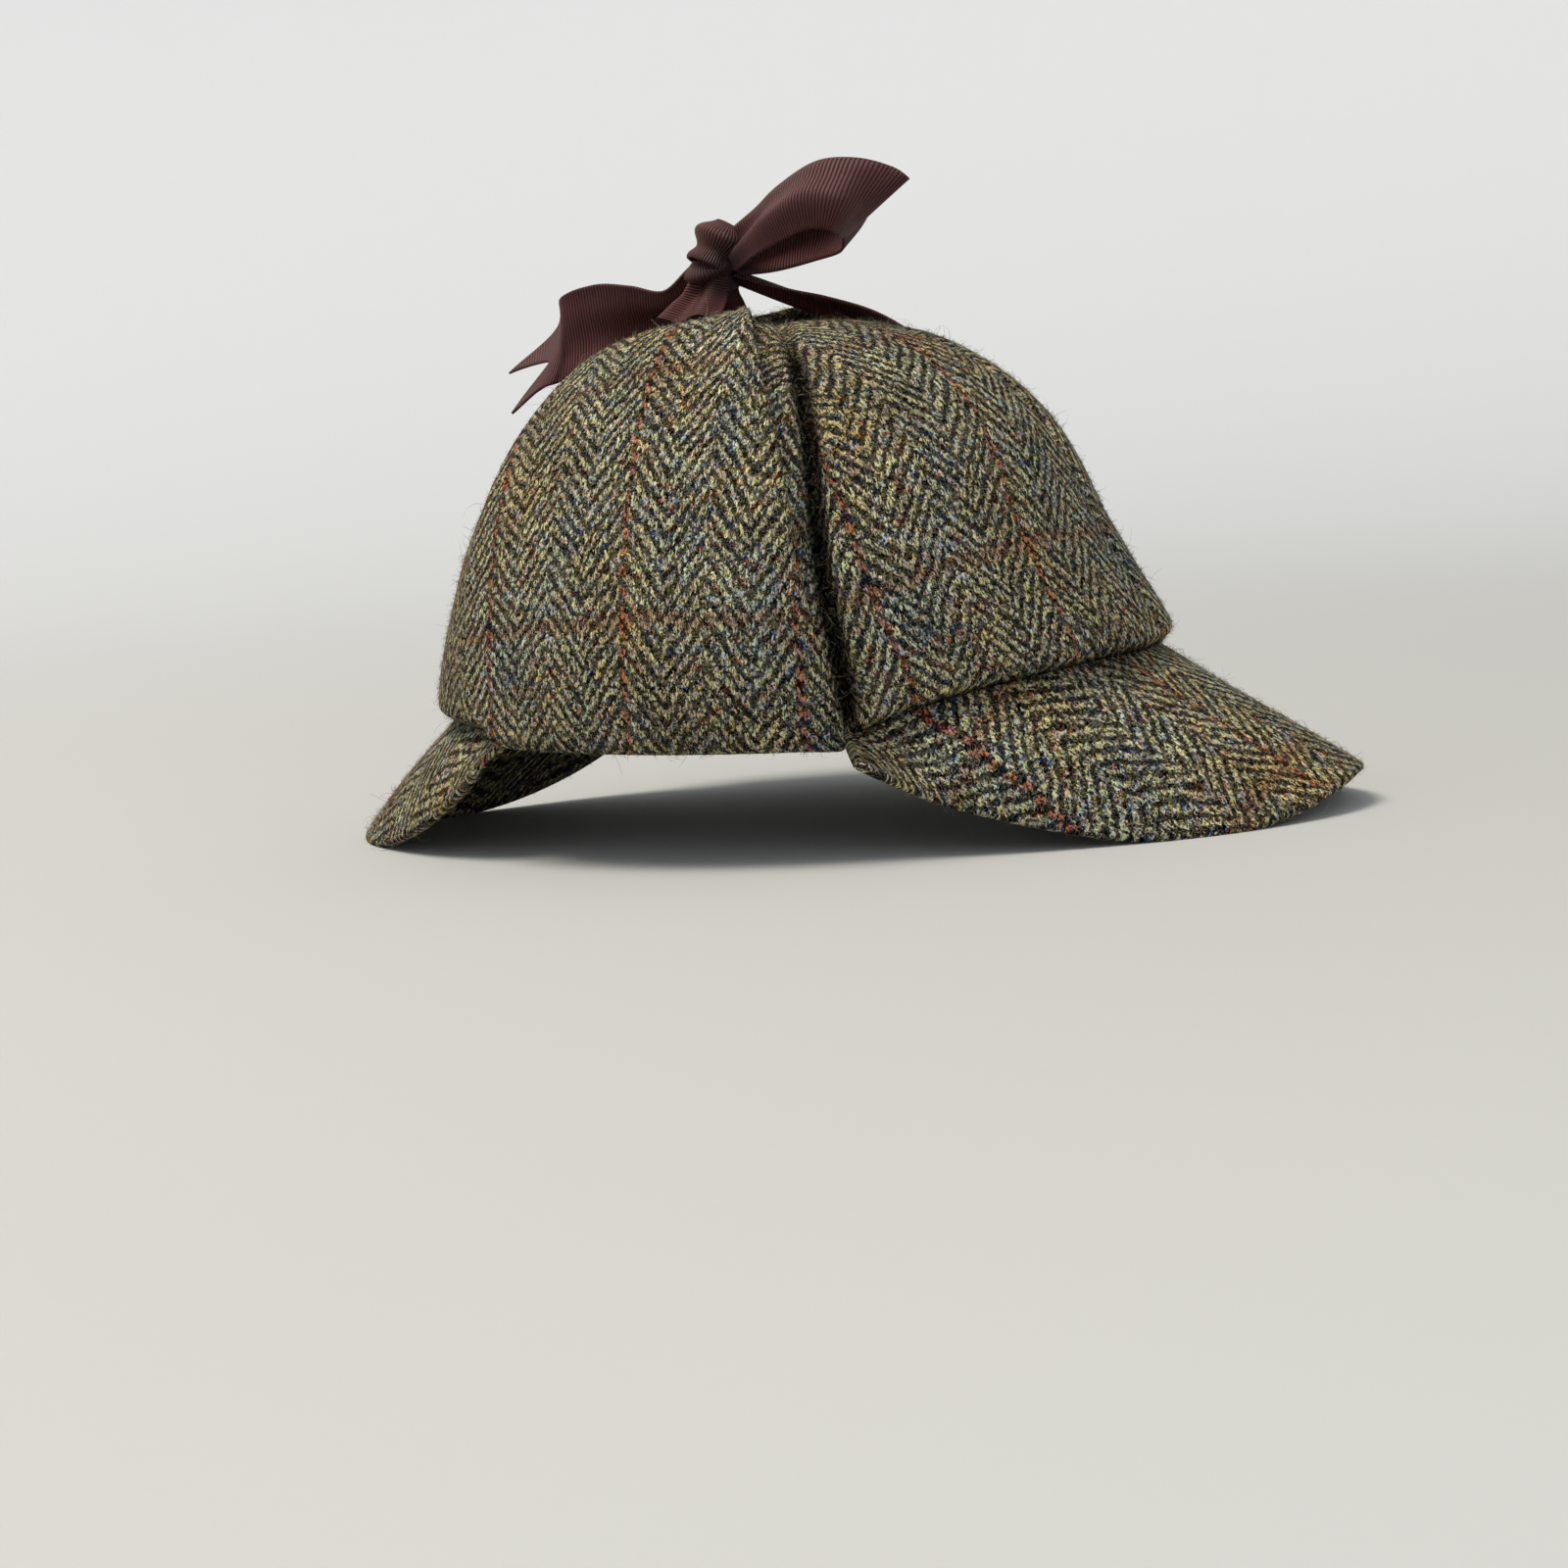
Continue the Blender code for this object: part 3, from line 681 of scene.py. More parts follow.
def rim_angle(ahead):
    """Angle, round the hub, of the rim where the flap leaves its fold."""
    height = fold_height(ahead)
    row = smooth_row(CROWN_BY_SHARE, "share", crown_share(height))
    aside = row.side * math.sqrt(1 - (ahead / crown_reach(row, ahead)) ** 2)
    return math.atan2(height - FLAP_HUB_HEIGHT, aside)


FLAP_ORIGIN = np.array((0.0010, 0.0326))    # where a flap lies on the cloth
FLAP_COLUMNS = 64
FOLD_ROWS = 16
FACE_ROWS = 76


def ear_flap(name, side):
    """A flap folded up round the rim; side is 1 on the wearer's right and -1 on the left."""
    rows = FOLD_ROWS + FACE_ROWS
    lift_at_fold = FLAP[0].lift

    def surface(across, along):
        step = along * rows
        across = eased(1 - across if side < 0 else across)
        face = max(0.0, (step - FOLD_ROWS) / FACE_ROWS)
        row = smooth_row(FLAP, "share", face)
        back = row.back + FLAP_CLOTH / 2
        front = row.front - FLAP_CLOTH / 2 - FRONT_BACK * math.sin(math.pi * face)
        ahead = back + (front - back) * across
        low_angle = rim_angle(ahead)
        if step < FOLD_ROWS:
            turn, _ = on_section(ahead, low_angle)
            swing = math.radians(FOLD_START * (1 - step / FOLD_ROWS))
            share = crown_share(fold_height(ahead) + FOLD_RADIUS * math.sin(swing))
            lift = FOLD_CENTRE_OUT + (lift_at_fold - FOLD_CENTRE_OUT) * math.cos(swing)
        else:
            up = low_angle + (math.radians(FLAP_TIP_ANGLE) - low_angle) * face
            turn, share = on_section(ahead, up)
            lift = row.lift - TIP_DROP * eased(max(0.0, face - TIP_START) / (1 - TIP_START))
            flare = max(0.0, (across - (1 - FLARE_SHARE)) / FLARE_SHARE)
            lift += FRONT_FLARE * flare ** 2 * math.sin(math.pi * face)
        point = waved(crown_point(turn, share, lift), crown_out(turn, share))
        return Vector((point.x * side, point.y, point.z))

    points = panel_points(FLAP_COLUMNS, rows, surface)
    tip = np.clip((np.linspace(0, 1, rows + 1) - TIP_START) / (1 - TIP_START), 0, 1)[:, None]
    thinned = np.repeat(1 - TIP_THINNING * tip, points.shape[1], axis=1)
    flat = flap_cut(points)
    piece, PANELS["tweed_" + name] = rolled_panel(
        "tweed_" + name, points, flat + FLAP_ORIGIN, FLAP_CLOTH, thinned)
    return piece, flat_size(flat), panel_area(points)


# ---------------------------------------------------------------- ribbon
def gathered(across, width, flat_width):
    """How far pleats push the ribbon off its middle where it is drawn in to a width."""
    spare = max(0.0, flat_width / width - 1.0)
    depth = PLEAT_DEPTH * width / PLEATS * math.sqrt(spare)
    return depth * math.sin(PLEATS / 2 * math.pi * across)


def flat_size(flat):
    """Width and length of a flat map."""
    return tuple(float(side) for side in np.ptp(flat.reshape(-1, 2), axis=0))


def strip(name, points, flat):
    """A ribbon through rows of points, its flat size and its area."""
    piece = thin_panel(name, points, flat, RIBBON_CLOTH, 0.0)
    return piece, flat_size(flat), panel_area(points)


RIBBON_COLUMNS = 24
KNOT_COLUMNS = 20
KNOT_ROWS = 72


def ribbon(name, rows, steps, flat_width, notch):
    """A strip of ribbon along its table's rows, with a V cut into its last end."""
    numbered_rows = numbered(rows)
    length = sum(math.dist(a[:3], b[:3]) for a, b in zip(rows, rows[1:]))
    step = 0.01     # the share of the length, each way, over which its direction is taken

    def middle(share):
        """Middle of the ribbon, and its row."""
        row = smooth_row(numbered_rows, "share", share)
        return BOW_PLACE + Vector((-row.right, -row.ahead, row.up)), row

    def surface(across, along):
        across = 2 * across - 1
        share = along * (1 - notch / length * (1 - abs(across)))
        centre, row = middle(share)
        ahead = middle(min(1.0, share + step))[0] - middle(max(0.0, share - step))[0]
        wide = Vector((-row.wide_right, -row.wide_ahead, row.wide_up)).normalized()
        face = wide.cross(ahead).normalized()
        off = row.cup * (1 - across * across) + gathered(across, row.width, flat_width)
        return centre + wide * (across * row.width / 2) + face * off

    shares = np.linspace(0.0, 1.0, 4 * steps)
    line = np.array([middle(share)[0] for share in shares])
    reach = np.concatenate(([0.0], np.cumsum(np.linalg.norm(np.diff(line, axis=0), axis=1))))
    aside = np.linspace(-1.0, 1.0, RIBBON_COLUMNS + 1)
    ends = 1 - notch / length * (1 - np.abs(aside))
    up = np.interp(np.linspace(0.0, 1.0, steps + 1)[:, None] * ends, shares, reach)
    flat = np.stack(np.broadcast_arrays(aside * flat_width / 2, up), axis=2)
    return strip("ribbon_" + name, panel_points(RIBBON_COLUMNS, steps, surface), flat)


def knot_turn(turn, flat_width):
    """One turn of ribbon drawn tight round the knot, tilted and leaning from level."""
    turned = Matrix.Rotation(turn.lean, 3, 'X') @ Matrix.Rotation(turn.tilt, 3, 'Y')
    wide, deep, high = turn.half
    drawn_in = high * 1.6       # width that the ribbon is gathered to

    def surface(across, along):
        across = 2 * across - 1
        swing = turn.start + (turn.end - turn.start) * along
        swell = 1.0 - KNOT_ROUNDING * across ** 2 + gathered(across, drawn_in, flat_width) / wide
        point = Vector((wide * swell * math.cos(swing), deep * swell * math.sin(swing),
                        high * across))
        return KNOT_CENTRE + Vector(turn.centre) + turned @ point

    points = panel_points(KNOT_COLUMNS, KNOT_ROWS, surface)
    flat = panel_cut(points)
    flat[..., 0] = np.linspace(-0.5, 0.5, flat.shape[1]) * flat_width
    return strip("ribbon_" + turn.name, points, flat)


# ---------------------------------------------------------------- shader maths
class Wire:
    """A socket in an expression: arithmetic on it adds Math nodes."""

    def __init__(self, paint, node, output=0):
        self.paint = paint
        self.made = node
        self.socket = node.outputs[output]

    def other(self, output):
        return Wire(self.paint, self.made, output)

    def math(self, operation, *values):
        return self.paint.make("ShaderNodeMath", {"operation": operation}, (self, *values))

    def __add__(self, value):
        return self.math('ADD', value)

    __radd__ = __add__

    def __sub__(self, value):
        return self.math('SUBTRACT', value)

    def __rsub__(self, value):
        return self.paint.make("ShaderNodeMath", {"operation": 'SUBTRACT'}, (value, self))

    def __mul__(self, value):
        return self.math('MULTIPLY', value)

    __rmul__ = __mul__

    def __truediv__(self, value):
        return self.math('DIVIDE', value)

    def __pow__(self, value):
        return self.math('POWER', value)

    def __mod__(self, value):
        return self.math('FLOORED_MODULO', value)

    def __lt__(self, value):
        return self.math('LESS_THAN', value)

    def floor(self):
        return self.math('FLOOR')

    def fract(self):
        return self.math('FRACT')

    def arch(self):
        """Rises from 0 to 1 and falls again as the value goes from one whole number to the next."""
        return (self * math.pi).math('SINE').math('ABSOLUTE')

    def pick(self, no, yes):
        """The number no where this is 0, and yes where it is 1."""
        return no + self * (yes - no)


class Paint:
    """A material's nodes, all made by one method."""

    def __init__(self, name, **constants):
        self.material = bpy.data.materials.new(name)
        self.material.use_nodes = True
        self.tree = self.material.node_tree
        self.shader = self.tree.nodes["Principled BSDF"]
        for socket, value in constants.items():
            self.shader.inputs[socket.replace("_", " ")].default_value = value

    def make(self, kind, settings=None, values=(), output=0):
        """A node of a kind, with its settings, and the values or wires of its sockets."""
        node = self.tree.nodes.new(kind)
        settings = dict(settings or {})
        stops = settings.pop("stops", None)
        for key, value in settings.items():
            setattr(node, key, value)
        if stops:
            ramp = node.color_ramp
            ramp.interpolation = 'CONSTANT'
            while len(ramp.elements) < len(stops):
                ramp.elements.new(1.0)
            for element, (place, colour) in zip(ramp.elements, stops):
                element.position = place
                element.color = (*colour, 1.0)
        named = values.items() if isinstance(values, dict) else enumerate(values)
        for socket, value in named:
            self.join(value, node.inputs[socket])
        return Wire(self, node, output)

    def join(self, value, socket):
        if isinstance(value, Wire):
            self.tree.links.new(value.socket, socket)
        else:
            socket.default_value = value

    def mix(self, share, first, second):
        """Colour that goes from the first to the second."""
        return self.make("ShaderNodeMix", {"data_type": 'RGBA'},
                         {0: share, 6: first, 7: second}, output=2)

    def vector(self, x, y, z=0.0):
        return self.make("ShaderNodeCombineXYZ", None, (x, y, z))

    def split(self, place):
        """The first part of a vector; the others are its outputs 1 and 2."""
        return self.make("ShaderNodeSeparateXYZ", None, (place,))

    def on_vectors(self, operation, *places):
        return self.make("ShaderNodeVectorMath", {"operation": operation}, places)

    def scaled(self, place, times):
        return self.make("ShaderNodeVectorMath", {"operation": 'SCALE'}, {0: place, "Scale": times})

    def object_place(self):
        return self.make("ShaderNodeTexCoord", output=3)

    def flat_map(self, name="cut"):
        """Place on one of the piece's flat maps."""
        return self.make("ShaderNodeUVMap", {"uv_map": name})

    def fraction(self, value, low, high, at_low=0.0, at_high=1.0, **settings):
        """Goes from at_low to at_high as the value goes from low to high."""
        return self.make("ShaderNodeMapRange", {"clamp": True, **settings},
                         (value, low, high, at_low, at_high))

    def stepped(self, value, stops):
        """The colour of the last stop that the value has passed."""
        return self.make("ShaderNodeValToRGB", {"stops": stops}, (value,))

    def noise(self, place, scale, detail=2.0, output=0, distortion=0.0):
        return self.make("ShaderNodeTexNoise", {"noise_dimensions": '3D'},
                         {"Vector": place, "Scale": scale, "Detail": detail,
                          "Distortion": distortion}, output)

    def wandering(self, place, scale, detail, reach):
        """How far a place is moved about, up to about half of reach each way."""
        cloud = self.noise(place, scale, detail, "Color")
        return self.scaled(self.on_vectors('ADD', cloud, (-0.5,) * 3), reach)

    def hairs(self, place, fineness, curl):
        """Fine lines that wander over the surface, 1 along each line and 0 between them."""
        cloud = self.noise(place, 1.0, 1.0, distortion=curl)
        return (1.0 - (cloud - 0.5).math('ABSOLUTE') * fineness).math('MAXIMUM', 0.0)

    def random(self, place, output=0):
        return self.make("ShaderNodeTexWhiteNoise", {"noise_dimensions": '3D'},
                         {"Vector": place}, output)

    def finish(self, colour, height, relief):
        self.join(colour, self.shader.inputs["Base Color"])
        bump = self.make("ShaderNodeBump", None,
                         {"Height": height, "Distance": relief, "Strength": 1.0})
        self.join(bump, self.shader.inputs["Normal"])
        return self.material


def rgb(red, green, blue):
    return (red, green, blue, 1.0)


WARP_COLOURS = (
    (0.00, (0.48, 0.46, 0.31)),     # sand
    (0.15, (0.28, 0.38, 0.20)),     # grey green
    (0.29, (0.50, 0.46, 0.19)),     # straw
    (0.42, (0.37, 0.40, 0.38)),     # grey
    (0.51, (0.50, 0.39, 0.04)),     # mustard
    (0.60, (0.40, 0.22, 0.08)),     # camel
    (0.67, (0.17, 0.28, 0.45)),     # slate blue
    (0.76, (0.19, 0.21, 0.03)),     # moss
    (0.83, (0.016, 0.020, 0.034)),  # charcoal
    (0.865, (0.34, 0.17, 0.32)),    # heather
    (0.905, (0.020, 0.170, 0.240)), # teal
    (0.940, (0.44, 0.075, 0.015)),  # rust
)
WEFT_COLOURS = (
    (0.00, (0.008, 0.012, 0.030)),  # navy black
    (0.16, (0.230, 0.260, 0.190)),  # slate
    (0.32, (0.010, 0.030, 0.018)),  # dark green
    (0.39, (0.380, 0.340, 0.170)),  # dun
    (0.56, (0.060, 0.016, 0.055)),  # plum
    (0.62, (0.260, 0.180, 0.030)),  # ochre
    (0.72, (0.010, 0.045, 0.160)),  # deep blue
    (0.80, (0.250, 0.290, 0.330)),  # blue grey
    (0.92, (0.270, 0.050, 0.016)),  # russet
)
HAIR_COLOURS = (
    (0.00, (0.43, 0.46, 0.42)),
    (0.42, (0.49, 0.47, 0.33)),
    (0.50, (0.36, 0.42, 0.33)),
    (0.57, (0.58, 0.42, 0.14)),
    (0.63, (0.28, 0.37, 0.50)),
)
RUST = rgb(0.34, 0.055, 0.016)
RUST_BROWN = rgb(0.22, 0.070, 0.026)


def tweed_material(look):
    """Herringbone of pale warp tufts over dark weft ones, with a rust overcheck, and painted light
    and shade on the tufts, between the strands and in the seams.
    """
    paint = Paint("tweed", Roughness=1.0, Specular_IOR_Level=0.02)
    flat = paint.flat_map()

    def cloud(wide, long):
        """Where to read a pattern whose spots are this wide and long, in metres."""
        return paint.on_vectors('MULTIPLY', flat, (1 / wide, 1 / long, 1.0))

    # yarn numbers across and along the cloth, on a weave that sways and is loosely spun
    yarns = cloud(look.yarn, look.pick)
    sway = paint.wandering(yarns, 0.10, 1.0, 3.0)
    loose = paint.wandering(yarns, 0.85, 3.0, 2.7)
    across = paint.split(paint.on_vectors('ADD', paint.on_vectors('ADD', yarns, sway), loose))
    along = across.other(1)
    warp_yarn = across.floor()
    weft_yarn = along.floor()

    # each warp yarn shows as one tuft in every four wefts, a weft later on the next yarn, and the
    # slant turns over from column to column
    column = ((warp_yarn + 0.5) / look.column).floor()
    slant = 1.0 - (column % 2.0) * 2.0
    rise = along + slant * warp_yarn
    tuft = paint.vector(warp_yarn, ((rise + 0.7) / 4.0).floor(), slant)
    uneven = paint.split(paint.random(tuft, "Color"))
    warp_y = (rise + 0.7) % 4.0 - 1.5 - uneven.other(1)
    warp_x = across.fract() - 0.70 + warp_y * slant * 0.14 + uneven * 0.40
    warp_height = (1.0 - (warp_x * 2.8) ** 2.0 - (warp_y * 0.70) ** 2.0).math('MAXIMUM', 0.0)
    warp_height = warp_height ** 0.5
    weft_x = (weft_yarn + slant * across + (1.0 - slant) * 0.5) % 4.0 - 1.0
    weft_y = along.fract() - 0.5
    weft_height = (1.0 - (weft_y * 2.0) ** 2.0 - (weft_x * 0.80) ** 2.0).math('MAXIMUM', 0.0)
    weft_height = weft_height ** 0.5 * 0.6
    covered = (warp_height * 4.0).math('MINIMUM', 1.0)

    # yarn colours drift along each yarn and from tuft to tuft, and the overcheck lies over them
    drift = paint.noise(paint.vector(warp_yarn * 0.61, along * 0.055), 1.0)
    hue = paint.noise(cloud(0.0007, 0.0019), 1.0, 1.0)
    chance = (uneven * 0.60 + (drift - 0.5) * 1.6 + (hue - 0.5) * 1.7 + 0.17) % 1.0
    check_warp = (warp_yarn % look.check) < 2.0
    check_weft = (weft_yarn % look.check_up) < 3.0
    warp_colour = paint.mix(check_warp * 0.80, paint.stepped(chance, WARP_COLOURS), RUST)
    warp_colour = paint.mix(check_weft * 0.45, warp_colour, RUST_BROWN)
    weft_place = paint.vector(weft_yarn + 57.0, ((across * slant) / 4.0).floor(), slant)
    weft_drift = paint.noise(paint.vector(across * 0.05, weft_yarn * 0.57, 7.0), 1.0)
    weft_chance = (paint.random(weft_place) * 0.7 + weft_drift * 0.8) % 1.0
    weft_colour = paint.mix(check_weft * 0.85, paint.stepped(weft_chance, WEFT_COLOURS), RUST_BROWN)
    colour = paint.mix(covered, weft_colour, warp_colour)

    # the wool's own strands with painted shade in dark gaps between them, and pale hairs that lie
    # over the weave
    strands = paint.hairs(cloud(0.00062, 0.0019), 7.0, 1.3)
    curls = paint.hairs(cloud(0.0012, 0.0015), 15.0, 2.2)
    pocket_shade = paint.fraction(paint.noise(cloud(0.0009, 0.0015), 1.0, 1.0), 0.38, 0.58, 0.05, 1.25)
    colour = paint.mix(curls * (0.62 - check_warp * 0.40), colour, paint.stepped(hue, HAIR_COLOURS))
    # painted light and shade: a tuft is lit on its top and shaded towards its edges, the weft
    # between tufts is darker, and it darkens between the strands
    warp_light = warp_height * (uneven.other(2) * 0.9 + 0.6)
    light = covered.pick(weft_height ** 1.5 * 2.1 + 0.02, warp_light) * (strands * 4.2 + 0.01)
    light = (light * pocket_shade + curls * 0.65).math('MINIMUM', 1.45) ** 1.2
    # painted shade deep in the seams, read from the gore's second map
    light = light * (1.0 - paint.split(paint.flat_map("sunk")) * 0.93)
    light = light * (paint.noise(yarns, 0.05) * 1.1 + 0.62)
    colour = paint.on_vectors('MULTIPLY', colour, paint.vector(light, light, light))
    warmth = paint.fraction(paint.noise(yarns, 0.028), 0.35, 0.65)
    tint = paint.mix(warmth, rgb(0.92, 1.0, 1.14), rgb(1.13, 1.0, 0.84))
    colour = paint.on_vectors('MULTIPLY', colour, tint)
    height = covered.pick(weft_height, warp_height + 0.2) + strands * 0.35 + curls * 0.35
    return paint.finish(colour, height, look.relief)


FIBRE_COLOURS = (
    (0.00, (0.30, 0.275, 0.18)),
    (0.30, (0.17, 0.17, 0.115)),
    (0.52, (0.10, 0.10, 0.085)),
    (0.66, (0.24, 0.18, 0.055)),
    (0.76, (0.030, 0.030, 0.032)),
    (0.95, (0.20, 0.065, 0.025)),
)


def fibre_material():
    """Each raised fibre has one colour, picked by the place of its flat map."""
    paint = Paint("tweed_fibre", Roughness=0.75, Specular_IOR_Level=0.25)
    paint.join(paint.stepped(paint.split(paint.flat_map()), FIBRE_COLOURS),
               paint.shader.inputs["Base Color"])
    return paint.material


RIB_RELIEF = 0.00022


def grosgrain_material(look):
    """Fine cross ribs, with painted highlights of a dull satin light on their tops and painted
    shade between them.
    """
    paint = Paint("grosgrain", Roughness=0.55, Specular_IOR_Level=0.22, Sheen_Weight=0.03,
                  Sheen_Roughness=0.4, Sheen_Tint=rgb(0.9, 0.65, 0.65))
    across = paint.split(paint.flat_map())
    along = across.other(1)
    waver = paint.noise(paint.vector(across * 120.0, along * 400.0), 1.0)
    rib = (along / look.rib + (waver - 0.5) * 0.35).arch()
    threads = paint.noise(paint.vector(across * 7000.0, along * 900.0), 1.0)
    wear = paint.noise(paint.vector(across * 160.0, along * 60.0), 1.0, 3.0)
    # painted highlight on the ribs' tops and painted shade between them, varied by the threads and
    # wear
    light = (rib ** 2.2) * (threads * 0.9 + 0.55) * (wear * 0.9 + 0.55)
    # painted shade: the ribbon darkens towards the hollow between the knot's folds
    from_hollow = paint.on_vectors('DISTANCE', paint.object_place(),
                                   tuple(KNOT_HOLLOW + HAT_PLACE)).other(1)
    light = light * paint.fraction(from_hollow, 0.004, 0.013, 0.22, 1.0)
    colour = paint.mix(light, rgb(*look.shade), rgb(*look.colour))
    return paint.finish(colour, rib + threads * 0.25, RIB_RELIEF)


# ---------------------------------------------------------------- fuzz
def fibres(name, points, per_area, kind, radius, seed):
    """Raised fibres over a panel's outer face, as one mesh of thin three-sided tubes."""
    taper = 0.6     # how much thinner a fibre is at its tip
    chance = np.random.default_rng(seed)
    first = points[:-1, :-1]
    along_edge = points[:-1, 1:] - first
    up_edge = points[1:, :-1] - first
    out = np.cross(along_edge, up_edge)
    area = np.linalg.norm(out, axis=2)
    count = int(area.sum() * per_area)
    share = area.ravel() / area.sum()
    cell = chance.choice(share.size, size=count, p=share)
    a, b = chance.random((2, count, 1))
    root = first.reshape(-1, 3)[cell] + a * along_edge.reshape(-1, 3)[cell] \
        + b * up_edge.reshape(-1, 3)[cell]
    out = (out / area[..., None]).reshape(-1, 3)[cell]
    side = np.cross(out, chance.normal(size=(count, 3)))
    side /= np.linalg.norm(side, axis=1)[:, None]
    other = np.cross(out, side)
    # each fibre has its own length, lean out of the cloth, curl and twist
    size = kind.length * chance.lognormal(0.0, 0.45, (count, 1))
    lean = chance.uniform(0.5, 1.35, (count, 1))
    bend = kind.curl * chance.normal(1.0, 0.6, (count, 1))
    twist = kind.curl * chance.normal(0.0, 0.5, (count, 1))
    rings = kind.rings
    centre = root - out * radius * 2
    path = [centre]
    for ring in range(rings):
        angle = lean + bend * ring / rings
        swerve = twist * ring / rings
        level = side * np.cos(swerve) + other * np.sin(swerve)
        step = out * np.cos(angle) + level * np.sin(angle)
        centre = centre + step * size / rings
        path.append(centre)
    verts = []
    for index, centre in enumerate(path[:-1]):
        thin = radius * (1.0 - taper * index / rings)
        for corner in range(3):
            turn = 2 * math.pi * corner / 3
            verts.append(centre + (other * math.cos(turn) + np.cross(step, other)
                                   * math.sin(turn)) * thin)
    verts.append(path[-1])
    per = len(verts)
    verts = np.stack(verts, axis=1).reshape(-1, 3)
    verts[:, 2] = np.maximum(verts[:, 2], 0.0)
    faces = [(0, 2, 1)]
    for ring in range(rings - 1):
        for corner in range(3):
            low = ring * 3 + corner
            low_next = ring * 3 + (corner + 1) % 3
            faces.append((low, low_next, low_next + 3))
            faces.append((low, low_next + 3, low + 3))
    last = (rings - 1) * 3
    faces += [(last + corner, last + (corner + 1) % 3, per - 1) for corner in range(3)]
    faces = (np.arange(count)[:, None, None] * per + np.array(faces)[None]).reshape(-1, 3)
    mesh = bpy.data.meshes.new(name)
    mesh.from_pydata(verts.tolist(), [], faces.tolist())
    tint = np.repeat(chance.random(count), 3 * len(faces) // count)
    layer = mesh.uv_layers.new(name="cut")
    layer.data.foreach_set("uv", np.stack([tint, tint], axis=1).ravel())
    mesh.shade_smooth()
    piece = bpy.data.objects.new(name, mesh)
    bpy.context.scene.collection.objects.link(piece)
    return piece


# ---------------------------------------------------------------- operators
class HAT_OT_crown(bpy.types.Operator):
    """Make the six gores of the crown"""
    bl_idname = "hat.crown"
    bl_label = "Crown"

    def execute(self, context):
        tweed = shared_material("tweed")
        front, back = SEAM_DEGREES
        for side_name, sign in (("right", 1), ("left", -1)):
            for place, start, end in (("front", 0, front), ("side", front, back),
                                      ("back", back, 180)):
                low, high = sorted((sign * start, sign * end))
                piece = gore(place, side_name, low, high)
                dress(piece, tweed, "tweed", f"crown_{place}_{side_name}")
        return {'FINISHED'}


class HAT_OT_peaks(bpy.types.Operator):
    """Make the front and the back peak"""
    bl_idname = "hat.peaks"
    bl_label = "Peaks"

    def execute(self, context):
        tweed = shared_material("tweed")
        front = peak("front_peak", FRONT_PEAK, columns=150, depth_rows=44)
        dress(front, tweed, "tweed", "front_peak")
        back = peak("back_peak", BACK_PEAK, columns=120, depth_rows=34)
        dress(back, tweed, "tweed", "back_peak")
        return {'FINISHED'}


class HAT_OT_ear_flaps(bpy.types.Operator):
    """Make the two ear flaps, folded up over the crown"""
    bl_idname = "hat.ear_flaps"
    bl_label = "Ear flaps"

    def execute(self, context):
        tweed = shared_material("tweed")
        for name, side in (("ear_flap_right", 1), ("ear_flap_left", -1)):
            piece, size, area = ear_flap(name, side)
            dress(piece, tweed, "tweed", name)
            min(area, size[0] * size[1])
        return {'FINISHED'}


class HAT_OT_bow(bpy.types.Operator):
    """Make the ribbon ties and the bow"""
    bl_idname = "hat.bow"
    bl_label = "Ribbon bow"

    def execute(self, context):
        look = context.scene.ribbon_look
        grosgrain = shared_material("grosgrain")
        strips = (
            ("bow_loop_right", LOOP_RIGHT, 120, 0.0, "folded"),
            ("bow_loop_left", LOOP_LEFT, 110, 0.0, "folded"),
            ("bow_tail_back", TAIL_BACK, 80, TAIL_NOTCH, "draped"),
            ("bow_tail_front", TAIL_FRONT, 80, TAIL_NOTCH, "draped"),
            ("tie_right", TIE_RIGHT, 24, 0.0, "stretched"),
            ("tie_left", TIE_LEFT, 24, 0.0, "stretched"),
        )
        for name, rows, steps, notch, held in strips:
            piece, size, area = ribbon(name, rows, steps, look.width, notch)
            dress(piece, grosgrain, "grosgrain", name)
            min(area, size[0] * size[1])
        for turn, nodes in zip(KNOT_TURNS, (("bow_knot",), ())):
            piece, size, area = knot_turn(turn, look.width)
            dress(piece, grosgrain, "grosgrain", *nodes)
            min(area, size[0] * size[1])
        return {'FINISHED'}


class HAT_OT_fuzz(bpy.types.Operator):
    """Raise fibres over all the tweed"""
    bl_idname = "hat.fuzz"
    bl_label = "Tweed fuzz"

    def execute(self, context):
        look = context.scene.tweed_look
        material = fibre_material()
        for seed, (panel, points) in enumerate(sorted(PANELS.items())):
            for kind, per_cm2 in zip(FIBRE_KINDS, (look.fuzz_per_cm2, look.strays_per_cm2)):
                name = panel.replace("tweed", kind.name)
                piece = fibres(name, points, per_cm2 * 1e4, kind, look.fibre_radius, seed)
                dress(piece, material, "tweed")
        return {'FINISHED'}


CAMERA_AIM = HAT_PLACE + Vector((-0.0021, 0.0062, -0.0169))
LIGHT_AIM = HAT_PLACE + Vector((0.0, 0.0, 0.06))
KEY_PLACE = (-0.32, 0.44, 1.42)
KEY_SIZE = 0.7
FILL_PLACE = (-1.0, -1.0, 0.55)
FILL_SIZE = 0.9
ROOM_LIGHT = 0.80


